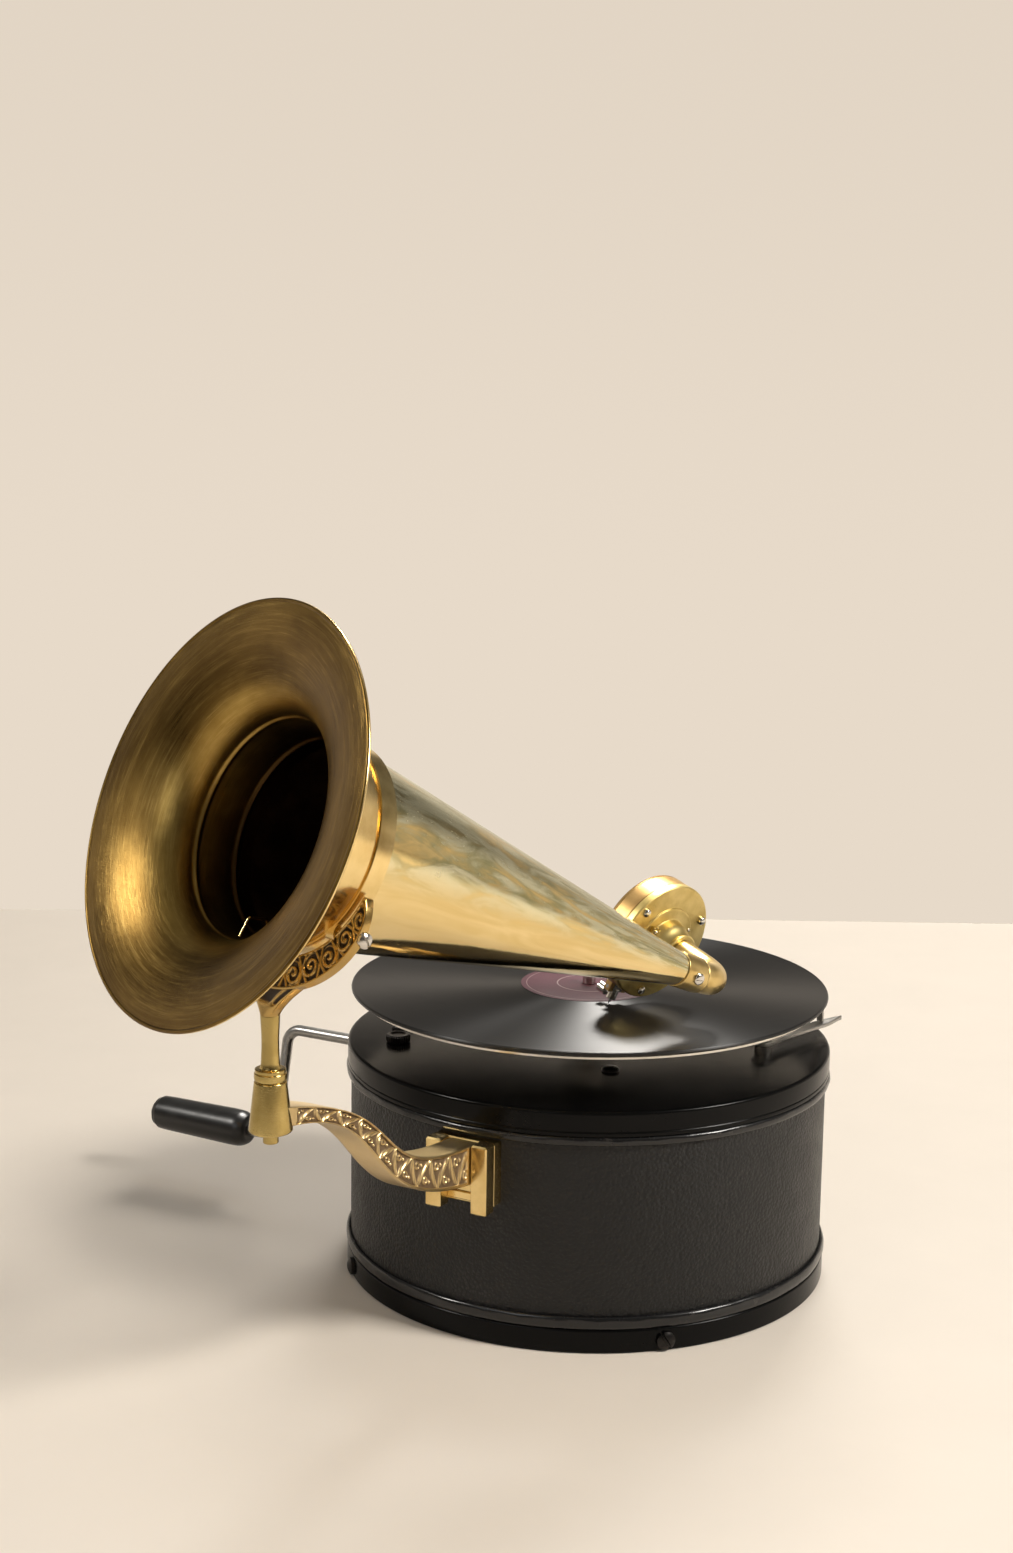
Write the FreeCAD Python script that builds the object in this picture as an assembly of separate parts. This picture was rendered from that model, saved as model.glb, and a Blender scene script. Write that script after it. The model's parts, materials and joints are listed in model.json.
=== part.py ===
import FreeCAD, Part
import os
from math import acos, atan2, cos, degrees, hypot, pi, radians, sin, sqrt, tan

from FreeCAD import Placement, Rotation, Vector

# Front-horn gramophone with a round case and a spring motor.
# Millimetres, +Z up. The origin is the centre of the case's underside; the horn arm
# leaves the case along -Y and the crank along -X.

# Fits
RUN_GAP = 0.05          # radial clearance of a shaft in its bearing
SEAT_GAP = 0.02         # clearance between pieces that are fixed together
FREE_GAP = 0.35         # clearance between faces that pass each other

# Case
CASE_R = 129.0
CASE_H = 123.0
WALL_INSET = 1.5        # the covered wall stands in from the two bands
WALL_T = 5.0
BASE_BAND_H = 12.0
BASE_BAND_T = 7.0
BASE_PLATE_T = 10.0
LOWER_PIPING_H = 6.5
UPPER_PIPING_H = 4.5
PIPING_PROUD = 2.2
PIPING_GAP = 0.1        # glue line behind the piping
LID_H = 13.0
LID_T = 6.0
LID_SKIRT_T = 7.0
LID_EDGE_R = 3.0
BASE_SCREW_Z = 5.0
BASE_SCREW_R = 1.8
BASE_SCREW_LENGTH = 12.0
BASE_SCREW_HEAD_R = 3.6
BASE_SCREW_HEAD_H = 2.0
BASE_SCREW_COUNT = 4
SLOT_W = 0.9            # screwdriver slots

# Horn bracket and arm
BRACKET_DROP = 18.0     # from the lid's top to the bracket's top
BRACKET_H = 35.0
BRACKET_W = 34.0
BRACKET_FLANGE = 5.5    # from the wall's face to the bottom of the slot
BRACKET_BAR = 8.0       # depth of the two bars beside the slot
ARM_W = 16.0
ARM_TAIL_TOP = 1.0      # top and bottom of the arm's tail below the bracket's top
ARM_TAIL_BOTTOM = 21.6
ARM_TAIL_TOP_REACH = 102.6      # handles of the arm's two edge curves
ARM_TAIL_TOP_RISE = 3.7
ARM_TAIL_BOTTOM_REACH = 110.0
ARM_TAIL_BOTTOM_RISE = 7.1
ARM_HEAD_TOP_REACH = 108.2
ARM_HEAD_TOP_RISE = 12.8
ARM_HEAD_BOTTOM_REACH = 88.4
ARM_HEAD_BOTTOM_RISE = 7.1
ARM_HEAD_T = 9.1
ARM_EDGE_R = 2.0
BRACKET_BOLT_R = 2.0
BRACKET_BOLT_PITCH = 24.0
BRACKET_BOLT_BITE = 4.0         # depth of the bolts in the bars
BRACKET_BOLT_HEAD_R = 3.4
BRACKET_BOLT_HEAD_H = 2.0

# Swivel socket and yoke
SWIVEL_REACH = 295.0    # from the case's axis to the swivel axis
SOCKET_Z = 33.0         # foot of the socket above the lid
SOCKET_H = 22.0
SOCKET_FOOT_R = 10.2
SOCKET_TOP_R = 7.5
ARM_IN_SOCKET = 2.6     # height of the arm's underside above the socket's foot
YOKE_PIN_R = 4.0
YOKE_TAIL_R = 3.3
YOKE_TAIL_H = 5.0
YOKE_SHOULDER_R = 8.0
YOKE_SHOULDER_H = 5.3
YOKE_STEM_R = 4.6
YOKE_NECK_R = 3.6
YOKE_INNER_R = 48.0
YOKE_DEPTH = 10.0       # the crescent's depth at its lowest point
YOKE_TIP = 21.0         # degrees of the crescent's points below level
YOKE_TIP_CUT = 1.5      # blunting of the points
YOKE_W = 6.5
YOKE_FAN_W = 26.0       # width of the fan where it meets the crescent
YOKE_FAN_H = 14.0

# Horn
HORN_HEADING = 21.02    # degrees from -Y towards -X
HORN_RISE = 22.15       # degrees above level
CHORD_Z = 123.1         # tilt axis above the lid
CHORD_BACK = 10.9       # tilt axis behind the swivel axis
CHORD_DROP = 31.6       # tilt axis below the horn's axis
RIM_R = 89.4
RIM_BEAD_R = 1.0
BELL_DEPTH = 51.1
BELL_FLARE_DEPTH = 24.0
BELL_THROAT_R = 47.8
BELL_WALL = 1.0
CONE_R = 44.0
CONE_END_R = 8.5
CONE_LENGTH = 228.9
CONE_WALL = 0.8
COLLAR_R = 45.7
COLLAR_W = 8.0
LUG_R = 4.5
PIVOT_R = 2.5
PIVOT_HEAD_R = 4.2
PIVOT_HEAD_H = 2.4
FERRULE_R = 9.0
FERRULE_L = 17.0
ELBOW_LEAD = 3.5
ELBOW_R = 8.0
ELBOW_BORE_R = 6.0
ELBOW_BEND_R = 14.0
ELBOW_TAIL = 15.0
ELBOW_SCREW_R = 1.3
ELBOW_SCREW_HEAD_R = 3.0
ELBOW_SCREW_HEAD_H = 1.8

# Soundbox, with its back facing the neck
SOUNDBOX_TURN = 19.0    # degrees of the back's normal from +X towards -Y
SOUNDBOX_DIP = 17.0     # degrees of the back's normal below level
NEEDLE_SLANT = 15.0     # degrees of the needle from the steepest line of the soundbox
NECK_R = 6.0
NECK_BORE_R = 4.5
NECK_L = 12.0
BACK_R = 31.5
BACK_T = 4.0
BOSS_STEPS = ((18.0, 3.0), (13.0, 5.0), (10.5, 5.2))    # radius and height, from the plate out
DRUM_R = 30.5
DRUM_IN_R = 27.4
DRUM_T = 11.0
LIP_R = 24.4
LIP_T = 1.5
DIAPHRAGM_T = 0.3
SOUNDBOX_SCREW_R = 0.9
SOUNDBOX_SCREW_L = 9.0
SOUNDBOX_SCREW_HEAD_R = 2.0
SOUNDBOX_SCREW_HEAD_H = 1.4
SOUNDBOX_SCREW_COUNT = 3
TRUNNION_R = 1.0
TRUNNION_OUT = 3.2      # trunnion axis outside the drum
CHEEK_W = 3.0
PIVOT_BLOCK_W = 7.0
PIVOT_BLOCK_T = 4.0
CHUCK_R = 2.6
CHUCK_L = 4.6
STYLUS_BAR_W = 2.6
STYLUS_BAR_T = 1.5
STYLUS_FOOT_R = 0.8
NEEDLE_R = 0.75
NEEDLE_TIP_L = 3.0
NEEDLE_GAP = 0.3
THUMB_R = 2.8
THUMB_L = 4.5
THUMB_SHANK_R = 1.1
THUMB_SHANK_L = 2.5

# Turntable
RECORD_T = 2.0
LABEL_R = 36.5
LABEL_T = 0.15
MAT_T = 1.0
MAT_INSET = 3.0
PLATTER_R = 126.5
RECORD_OVERHANG = 0.5   # record past the platter's edge
PLATTER_T = 3.0
PLATTER_LIFT = 23.0     # underside of the platter above the lid
HUB_R = 15.0
HUB_H = 9.0
SPINDLE_TIP_R = 3.6
SPINDLE_WAIST_R = 2.8   # thinner through the record's hole
SPINDLE_WAIST_UP = 0.3  # height of the waist above the label
SPINDLE_TIP_H = 8.0
SPINDLE_SHOULDER_R = 6.5
SPINDLE_SHOULDER_H = 5.0
SPINDLE_DOME = 2.0

# Motor
PLATE_T = 3.0
PLATE_CORNER_R = 9.0
MOTOR_HANG = 2.0        # spacer between the lid and the top plate
LEVEL_GAP = 2.5         # between pieces that turn above each other
MODULE = 1.5
WHEEL_TEETH = 48
PINION_TEETH = 12
GOVERNOR_TEETH = 40
BEVEL_WHEEL_TEETH = 24
BEVEL_PINION_TEETH = 16
ADDENDUM = 1.1
DEDENDUM = 1.6
BACKLASH = 0.25
BEVEL_ADDENDUM = 0.7
BEVEL_DEDENDUM = 1.5
BEVEL_BACKLASH = 0.5
BEVEL_FACE = 0.35       # share of the cone distance that has teeth
BEVEL_HUB_T = 2.5
WHEEL_T = 3.0
GREAT_WHEEL_T = 4.0
PINION_T = 6.0
ARBOR_R = 4.0
SECOND_ARBOR_R = 3.0
BARREL_OFFSET = 52.0    # barrel axis from the spindle, towards the crank
BARREL_R = 33.0
BARREL_H = 22.0
BARREL_WALL = 1.5
BARREL_COVER_T = 2.0
SPRING_T = 0.9
SPRING_TURNS = 6
SPRING_PITCH = 3.4
SPRING_CLEAR = 1.5      # above and below the mainspring
CRANK_DROP = 15.0       # crank axis below the top plate
RATCHET_R = 15.0
RATCHET_TOOTH = 2.2
RATCHET_TEETH = 20
RATCHET_T = 4.0
CLICK_W = 5.0
CLICK_T = 3.0
CLICK_L = 22.0
CLICK_PIN_R = 2.0
PILLAR_R = 5.0
PILLAR_BOLT_R = 2.2
PILLAR_BOLT_L = 14.0
PILLAR_BOLT_HEAD_R = 4.6
PILLAR_BOLT_HEAD_H = 2.4
PILLAR_WALL_GAP = 20.5  # from the wall's inside to the two pillars beside the crank
PILLAR_SPREAD = 40.0    # of those two pillars from the crank's line
PILLAR_EAST = 38.0      # the other two pillars
PILLAR_NORTH = 44.0
PILLAR_SOUTH = 50.0
BUSH_R = 7.0
BUSH_L = 6.0
CRANK_R = 3.2
CRANK_REACH = 194.5     # from the case's axis to the crank's arm
CRANK_THROW = 62.4
CRANK_LEAN = 12.8       # degrees of the crank's arm from straight down, towards -Y
CRANK_BEND_R = 8.0
CRANK_BUSH_R = 5.5
CRANK_BUSH_FLANGE_R = 8.0
CRANK_BUSH_FLANGE_T = 2.5
CRANK_BEARING_X = 92.0
CRANK_BEARING_W = 8.0
CRANK_BEARING_R = 8.0
HANDLE_GAP = 18.5       # from the crank's arm to the handle
HANDLE_L = 68.0
HANDLE_R = 10.7
HANDLE_END_R = 10.0
HANDLE_NOSE = 8.5
HANDLE_HEEL = 4.5
HANDLE_BORE_L = 56.0

# Governor and speed regulator
GOVERNOR_DROP = 9.0     # governor wheel below the top plate
GOVERNOR_SHAFT_R = 2.5
GOVERNOR_COLLAR_R = 6.0
GOVERNOR_COLLAR_H = 4.0
GOVERNOR_SPAN = 17.0    # free length of the leaf springs
GOVERNOR_HUB_H = 6.0
GOVERNOR_DISC_R = 18.0
GOVERNOR_DISC_T = 3.0
GOVERNOR_TRAVEL = 3.0
LEAF_T = 0.5
LEAF_W = 4.5
LEAF_BOW = 5.0
WEIGHT_R = 4.5
WEIGHT_L = 6.0
LEAF_COUNT = 3
KNOB_WALL_GAP = 19.9    # from the wall's inside to the knob's axis
KNOB_HEADING = 217.87   # degrees of the knob seen from the spindle
KNOB_R = 6.5
KNOB_H = 4.0
REGULATOR_SHAFT_R = 2.5
REGULATOR_ARM_W = 7.0
REGULATOR_ARM_T = 3.0
REGULATOR_PAD_R = 3.0
REGULATOR_PAD_RADIUS = 15.0     # pad's distance from the governor's axis

# Brake
BRAKE_INSET = 37.0      # post inside the case's edge, along X
BRAKE_SIDE = 22.0       # post from the X axis
BRAKE_RUN = (19.0, 68.0)    # the lever's heading, X and Y
BRAKE_TIP_PAST = 13.4008    # lever's tip past its upright
BRAKE_LEVER_W = 8.0
BRAKE_LEVER_T = 2.2
BRAKE_LIFT = 4.0        # lever above the lid
BRAKE_POST_R = 3.0
BRAKE_POST_HEAD_R = 4.6
BRAKE_POST_HEAD_H = 2.0
BRAKE_PAD_T = 3.0
BRAKE_PAD_W = 10.0
BRAKE_PAD_H = 6.0
BRAKE_PAD_CLEAR = 2.2   # from the pad to the record's edge

# Derived heights and radii
record_r = PLATTER_R + RECORD_OVERHANG
brake_spot = (CASE_R - BRAKE_INSET, BRAKE_SIDE)
wall_r = CASE_R - WALL_INSET
wall_in_r = wall_r - WALL_T
wall_top = CASE_H - LID_H
lid_under = CASE_H - LID_T
bracket_top = CASE_H - BRACKET_DROP
bracket_mid = bracket_top - BRACKET_H / 2
arm_tail_top = bracket_top - ARM_TAIL_TOP
arm_tail_bottom = bracket_top - ARM_TAIL_BOTTOM
socket_z = CASE_H + SOCKET_Z
chord_z = CASE_H + CHORD_Z
slot_y = -(wall_r + BRACKET_FLANGE)
bracket_front_y = slot_y - BRACKET_BAR
top_plate_top = lid_under - MOTOR_HANG
top_plate_z = top_plate_top - PLATE_T
crank_z = top_plate_z - CRANK_DROP
bevel_wheel_r = MODULE * BEVEL_WHEEL_TEETH / 2
bevel_pinion_r = MODULE * BEVEL_PINION_TEETH / 2
bevel_z = crank_z - bevel_pinion_r
second_wheel_z = bevel_z - BEVEL_HUB_T - LEVEL_GAP - WHEEL_T
barrel_top = second_wheel_z - LEVEL_GAP
barrel_z = barrel_top - BARREL_COVER_T - BARREL_H
great_wheel_z = barrel_z - GREAT_WHEEL_T
bottom_plate_top = great_wheel_z - LEVEL_GAP
bottom_plate_z = bottom_plate_top - PLATE_T
ratchet_z = bottom_plate_z - LEVEL_GAP - RATCHET_T
governor_wheel_z = top_plate_z - GOVERNOR_DROP - WHEEL_T
wheel_r = MODULE * WHEEL_TEETH / 2
pinion_r = MODULE * PINION_TEETH / 2
train_distance = wheel_r + pinion_r
governor_distance = MODULE * (GOVERNOR_TEETH + PINION_TEETH) / 2
platter_z = CASE_H + PLATTER_LIFT
mat_z = platter_z + PLATTER_T
record_z = mat_z + MAT_T
record_top = record_z + RECORD_T
label_top = record_top + LABEL_T
spindle_tip_z = record_top + SPINDLE_TIP_H
waist_top = label_top + SPINDLE_WAIST_UP

# Motor axes, seen from above
barrel_at = (-BARREL_OFFSET, 0.0)
second_at = (-BARREL_OFFSET / 2, sqrt(train_distance ** 2 - (BARREL_OFFSET / 2) ** 2))
governor_at = (0.0, -governor_distance)
pillar_west = -sqrt((wall_in_r - PILLAR_WALL_GAP) ** 2 - PILLAR_SPREAD ** 2)
pillar_spots = ((pillar_west, -PILLAR_SPREAD), (pillar_west, PILLAR_SPREAD), (PILLAR_EAST, PILLAR_NORTH),
                (PILLAR_EAST, -PILLAR_SOUTH))
knob_reach = wall_in_r - KNOB_WALL_GAP
knob_spot = (knob_reach * cos(radians(KNOB_HEADING)), knob_reach * sin(radians(KNOB_HEADING)))

# Horn frame: local X across, local Y up, local Z along the horn towards its mouth
heading = radians(HORN_HEADING)
rise = radians(HORN_RISE)
horn_level = Vector(-sin(heading), -cos(heading), 0)
horn_x = Vector(cos(heading), -sin(heading), 0)
horn_z = horn_level * cos(rise) + Vector(0, 0, sin(rise))
horn_y = horn_z.cross(horn_x)
swivel = Vector(0, -SWIVEL_REACH, 0)
chord = swivel - horn_level * CHORD_BACK + Vector(0, 0, chord_z)
horn_origin = chord + horn_y * CHORD_DROP
horn_place = Placement(horn_origin, Rotation(horn_x, horn_y, horn_z, "ZXY"))
yoke_foot = chord - horn_y * (CHORD_BACK / sin(rise))

# Elbow and soundbox frame: local Z runs from the neck through the soundbox, local -Y to the needle
back_turn = radians(SOUNDBOX_TURN)
back_dip = radians(SOUNDBOX_DIP)
neck_dir = Vector(-cos(back_dip) * cos(back_turn), cos(back_dip) * sin(back_turn), sin(back_dip))
neck_level = Vector(sin(back_turn), cos(back_turn), 0)
neck_up = neck_level.cross(neck_dir)
slant = radians(NEEDLE_SLANT)
needle_up = neck_up * cos(slant) + neck_level * sin(slant)
tube_dir = horn_z * -1
elbow_turn = acos(tube_dir.dot(neck_dir))
elbow_side = (neck_dir - tube_dir * tube_dir.dot(neck_dir)).normalize()
elbow_start = horn_origin + tube_dir * (CONE_LENGTH + FERRULE_L)
bend_start = elbow_start + tube_dir * ELBOW_LEAD
bend_centre = bend_start + elbow_side * ELBOW_BEND_R
bend_across = elbow_side * (ELBOW_BEND_R * cos(elbow_turn))
bend_end = bend_centre - bend_across + tube_dir * (ELBOW_BEND_R * sin(elbow_turn))
boss_height = sum(height for _, height in BOSS_STEPS)
back_centre = bend_end + neck_dir * (ELBOW_TAIL + FREE_GAP + boss_height)
soundbox_place = Placement(back_centre, Rotation(needle_up.cross(neck_dir), needle_up, neck_dir, "ZXY"))
drum_front = BACK_T + DRUM_T
trunnion_y = -(DRUM_R + TRUNNION_OUT)
trunnion_z = drum_front
needle_z = trunnion_z
needle_length = (back_centre.z + neck_dir.z * needle_z - record_top - NEEDLE_GAP) / needle_up.z

# Crank directions
crank_down = Vector(0, -sin(radians(CRANK_LEAN)), -cos(radians(CRANK_LEAN)))
crank_centre = Vector(0, 0, crank_z)
OUTWARD = Vector(-1, 0, 0)
UP = Vector(0, 0, 1)


def rod(radius, start, direction, length):
    """A round bar from a point along a direction."""
    return Part.makeCylinder(radius, length, start, direction)


def column(radius, spot, low, high):
    """An upright round bar at a spot of the plan."""
    return rod(radius, Vector(spot[0], spot[1], low), UP, high - low)


def ring(outer, inner, low, high, spot=(0.0, 0.0)):
    """An upright tube."""
    return column(outer, spot, low, high).cut(column(inner, spot, low - 1, high + 1))


def box(low, high):
    """A box between two corners."""
    size = Vector(*high) - Vector(*low)
    return Part.makeBox(size.x, size.y, size.z, Vector(*low))


def turned(edges):
    """A solid of revolution about Z from edges in the XZ plane that make a closed outline."""
    face = Part.Face(Part.Wire(Part.__sortEdges__(edges)))
    return face.revolve(Vector(0, 0, 0), UP, 360)


def lines(*points):
    """Straight edges through (radius, height) points of the XZ plane."""
    corners = [Vector(r, 0, z) for r, z in points]
    return [Part.makeLine(a, b) for a, b in zip(corners, corners[1:])]


def curve(*points):
    """One Bezier edge with (radius, height) control points."""
    bezier = Part.BezierCurve()
    bezier.setPoles([Vector(r, 0, z) for r, z in points])
    return bezier.toShape()


def spun(*points):
    """A solid of revolution from the corners of a closed outline."""
    return turned(lines(*points, points[0]))


def plate(points, low, high):
    """A flat plate from the corners of its outline in plan."""
    corners = [Vector(x, y, low) for x, y in points]
    return Part.Face(Part.makePolygon(corners + corners[:1])).extrude(UP * (high - low))


def joined(shapes):
    """One solid from pieces that overlap."""
    shapes = list(shapes)
    whole = shapes[0].multiFuse(shapes[1:]) if len(shapes) > 1 else shapes[0]
    return whole.removeSplitter()


def group(shapes):
    """Separate solids kept together in one node."""
    return Part.makeCompound(list(shapes))


def placed(shape, placement):
    """A copy of a shape in another frame."""
    moved = shape.copy()
    moved.Placement = placement.multiply(shape.Placement)
    return moved


def along(start, direction, spin=0.0):
    """A frame at a point whose Z runs along a direction."""
    return Placement(start, Rotation(UP, direction)).multiply(Placement(Vector(), Rotation(UP, spin)))


def screw(shank_r, length, head_r, head_h):
    """A round-head screw: head upwards from z = 0, shank downwards, with a slot."""
    shank = column(shank_r, (0, 0), -length, head_h / 2)
    rim = head_h * 0.3
    head = turned(lines((0, rim), (0, 0), (head_r, 0), (head_r, rim)) + [
        curve((head_r, rim), (head_r, head_h * 0.8), (head_r / 2, head_h), (0, head_h)),
        *lines((0, head_h), (0, rim))])
    slot = box((-head_r - 1, -SLOT_W / 2, head_h * 0.55), (head_r + 1, SLOT_W / 2, head_h + 1))
    return shank.fuse(head).cut(slot).removeSplitter()


def gear_outline(teeth, tooth_at, addendum=ADDENDUM, dedendum=DEDENDUM, backlash=BACKLASH):
    """Involute gear outline about the origin with the middle of one tooth at an angle in degrees."""
    pitch = MODULE * teeth / 2
    base = pitch * cos(radians(20))
    half_at_pitch = (pi / 2 - backlash / (2 * MODULE)) / teeth

    def involute(radius):
        angle = acos(min(1.0, base / radius))
        return tan(angle) - angle

    flank = [pitch - dedendum, max(base, pitch - dedendum / 2), pitch, pitch + addendum / 2, pitch + addendum]
    halves = [half_at_pitch + involute(pitch) - involute(radius) for radius in flank]
    points = []
    for tooth in range(teeth):
        middle = radians(tooth_at) + 2 * pi * tooth / teeth
        for radius, half in zip(flank, halves):
            points.append((radius * cos(middle - half), radius * sin(middle - half)))
        for radius, half in zip(reversed(flank), reversed(halves)):
            points.append((radius * cos(middle + half), radius * sin(middle + half)))
    return points


def gear(teeth, tooth_at, spot, low, high):
    """A spur gear at a spot of the plan."""
    outline = [(x + spot[0], y + spot[1]) for x, y in gear_outline(teeth, tooth_at)]
    return plate(outline, low, high)


def bevel_gear(teeth, other_teeth, tooth_at):
    """A bevel gear about Z whose cone point is the origin and whose body lies at negative z."""
    depth = MODULE * other_teeth / 2
    outline = gear_outline(teeth, tooth_at, BEVEL_ADDENDUM, BEVEL_DEDENDUM, BEVEL_BACKLASH)
    wires = []
    for scale in (1.0, 1.0 - BEVEL_FACE):
        corners = [Vector(x * scale, y * scale, -depth * scale) for x, y in outline]
        wires.append(Part.makePolygon(corners + corners[:1]))
    toothed = Part.makeLoft(wires, True, True)
    hub = column(MODULE * teeth / 2 - BEVEL_DEDENDUM, (0, 0), -depth - BEVEL_HUB_T, -depth)
    return joined([toothed, hub])


def heading_of(start, end):
    """Direction in degrees from one spot of the plan to another."""
    return degrees(atan2(end[1] - start[1], end[0] - start[0]))


def around(count, first=0.0):
    """Evenly spaced angles in degrees."""
    return [first + 360.0 * k / count for k in range(count)]


# Case

def screw_frames():
    """Frames of the base screws, heads outwards on the base band."""
    frames = []
    for angle in around(BASE_SCREW_COUNT, 45.0):
        out = Vector(cos(radians(angle)), sin(radians(angle)), 0)
        frames.append(along(out * CASE_R + UP * BASE_SCREW_Z, out))
    return frames


def with_screw_holes(shape, frames, radius, length):
    """A shape with a clearance hole for each screw."""
    hole = column(radius + SEAT_GAP, (0, 0), -length - SEAT_GAP, 1)
    for frame in frames:
        shape = shape.cut(placed(hole, frame))
    return shape


def make_base_plate():
    disc = column(CASE_R - BASE_BAND_T - SEAT_GAP, (0, 0), 0, BASE_PLATE_T)
    return with_screw_holes(disc, screw_frames(), BASE_SCREW_R, BASE_SCREW_LENGTH)


def make_base_band():
    band = ring(CASE_R, CASE_R - BASE_BAND_T, 0, BASE_BAND_H)
    return with_screw_holes(band, screw_frames(), BASE_SCREW_R, BASE_SCREW_LENGTH)


def make_base_screws():
    one = screw(BASE_SCREW_R, BASE_SCREW_LENGTH, BASE_SCREW_HEAD_R, BASE_SCREW_HEAD_H)
    return group(placed(one, frame) for frame in screw_frames())


def bolt_seat():
    """Distance from the case's axis to the flat under the bracket bolts' heads, inside the wall."""
    far_corner = (ARM_W / 2 + BRACKET_W / 2) / 2 + BRACKET_BOLT_HEAD_R
    return sqrt(wall_in_r ** 2 - far_corner ** 2) - FREE_GAP


def bolt_frames():
    """Frames of the bracket's bolts, heads inside the case and shanks in the two bars."""
    across = (ARM_W / 2 + BRACKET_W / 2) / 2
    return [along(Vector(x, -bolt_seat(), bracket_mid + z), Vector(0, 1, 0), 90)
            for x in (-across, across) for z in (-BRACKET_BOLT_PITCH / 2, BRACKET_BOLT_PITCH / 2)]


def bolt_length():
    return -slot_y - bolt_seat() + BRACKET_BOLT_BITE


def make_case_wall():
    wall = ring(wall_r, wall_in_r, BASE_BAND_H, wall_top)
    wall = wall.cut(rod(CRANK_BUSH_R + SEAT_GAP, crank_centre, OUTWARD, CASE_R))
    return with_screw_holes(wall, bolt_frames(), BRACKET_BOLT_R, bolt_length())


def piping(low, height):
    """A half-round bead on the wall's face."""
    inner = wall_r + PIPING_GAP
    crown = wall_r + PIPING_PROUD * 4 / 3
    high = low + height
    bead = curve((inner, low), (crown, low), (crown, high), (inner, high))
    return turned([bead, *lines((inner, high), (inner, low))])


def make_case_piping():
    return group([piping(BASE_BAND_H, LOWER_PIPING_H), piping(wall_top - UPPER_PIPING_H, UPPER_PIPING_H)])


def make_lid():
    edge = CASE_R - LID_EDGE_R
    arc = Part.Arc(Vector(CASE_R, 0, CASE_H - LID_EDGE_R),
                   Vector(edge + LID_EDGE_R * cos(pi / 4), 0, CASE_H - LID_EDGE_R + LID_EDGE_R * sin(pi / 4)),
                   Vector(edge, 0, CASE_H)).toShape()
    skirt_in = CASE_R - LID_SKIRT_T
    under = lines((0, CASE_H), (0, lid_under), (skirt_in, lid_under), (skirt_in, wall_top),
                  (CASE_R, wall_top), (CASE_R, CASE_H - LID_EDGE_R))
    lid = turned([*under, arc, *lines((edge, CASE_H), (0, CASE_H))])
    spacers = [column(PILLAR_R + 1, spot, top_plate_top, lid_under + 1) for spot in pillar_spots]
    lid = joined([lid, *spacers])
    for spot in pillar_spots:
        lid = lid.cut(column(PILLAR_BOLT_R + SEAT_GAP, spot, top_plate_top - 1, CASE_H + 1))
    lid = lid.cut(column(SPINDLE_SHOULDER_R + 1, (0, 0), lid_under - 1, CASE_H + 1))
    lid = lid.cut(column(REGULATOR_SHAFT_R + RUN_GAP, knob_spot, lid_under - 1, CASE_H + 1))
    return lid.cut(column(BRAKE_POST_R + SEAT_GAP, brake_spot, lid_under - 1, CASE_H + 1))


# Bracket and arm

def make_bracket_plate():
    half = BRACKET_W / 2
    low = bracket_top - BRACKET_H
    flange = box((-half, slot_y, low), (half, -wall_in_r, bracket_top))
    bars = [box((side * half if side < 0 else ARM_W / 2 + FREE_GAP, bracket_front_y, low),
                (-ARM_W / 2 - FREE_GAP if side < 0 else half, slot_y, bracket_top)) for side in (-1, 1)]
    whole = joined([flange, *bars]).cut(column(wall_r + SEAT_GAP, (0, 0), low - 1, bracket_top + 1))
    return with_screw_holes(whole, bolt_frames(), BRACKET_BOLT_R, bolt_length())


def make_bracket_bolts():
    one = screw(BRACKET_BOLT_R, bolt_length(), BRACKET_BOLT_HEAD_R, BRACKET_BOLT_HEAD_H)
    return group(placed(one, frame) for frame in bolt_frames())


def make_horn_arm():
    tail_y = slot_y - SEAT_GAP
    head_y = -SWIVEL_REACH
    head_low = socket_z + ARM_IN_SOCKET

    def edge(tail, reach_tail, rise_tail, head, reach_head, rise_head):
        start = Vector(0, tail_y, tail)
        end = Vector(0, head_y, head)
        leave = Vector(0, -cos(radians(rise_tail)), sin(radians(rise_tail))) * reach_tail
        arrive = Vector(0, -cos(radians(rise_head)), sin(radians(rise_head))) * reach_head
        bezier = Part.BezierCurve()
        bezier.setPoles([start, start + leave, end - arrive, end])
        return bezier.toShape(), start, end

    top, top_tail, top_head = edge(arm_tail_top, ARM_TAIL_TOP_REACH, ARM_TAIL_TOP_RISE,
                                   head_low + ARM_HEAD_T, ARM_HEAD_TOP_REACH, ARM_HEAD_TOP_RISE)
    bottom, bottom_tail, bottom_head = edge(arm_tail_bottom, ARM_TAIL_BOTTOM_REACH, ARM_TAIL_BOTTOM_RISE,
                                            head_low, ARM_HEAD_BOTTOM_REACH, ARM_HEAD_BOTTOM_RISE)
    outline = [top, Part.makeLine(top_head, bottom_head), bottom, Part.makeLine(bottom_tail, top_tail)]
    bar = Part.Face(Part.Wire(Part.__sortEdges__(outline))).extrude(Vector(ARM_W, 0, 0))
    bar.translate(Vector(-ARM_W / 2, 0, 0))
    long_edges = [e for e in bar.Edges if e.BoundBox.YLength > ARM_W]
    bar = bar.makeFillet(ARM_EDGE_R, long_edges)
    top_z = socket_z + SOCKET_H
    socket = spun((0, socket_z), (SOCKET_FOOT_R - 1, socket_z), (SOCKET_FOOT_R, socket_z + 1),
                  (SOCKET_TOP_R, top_z), (0, top_z))
    socket.translate(swivel)
    bore = column(YOKE_PIN_R + RUN_GAP, (0, head_y), socket_z - 1, top_z + 1)
    return joined([bar, socket]).cut(bore)


# Turntable

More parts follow.
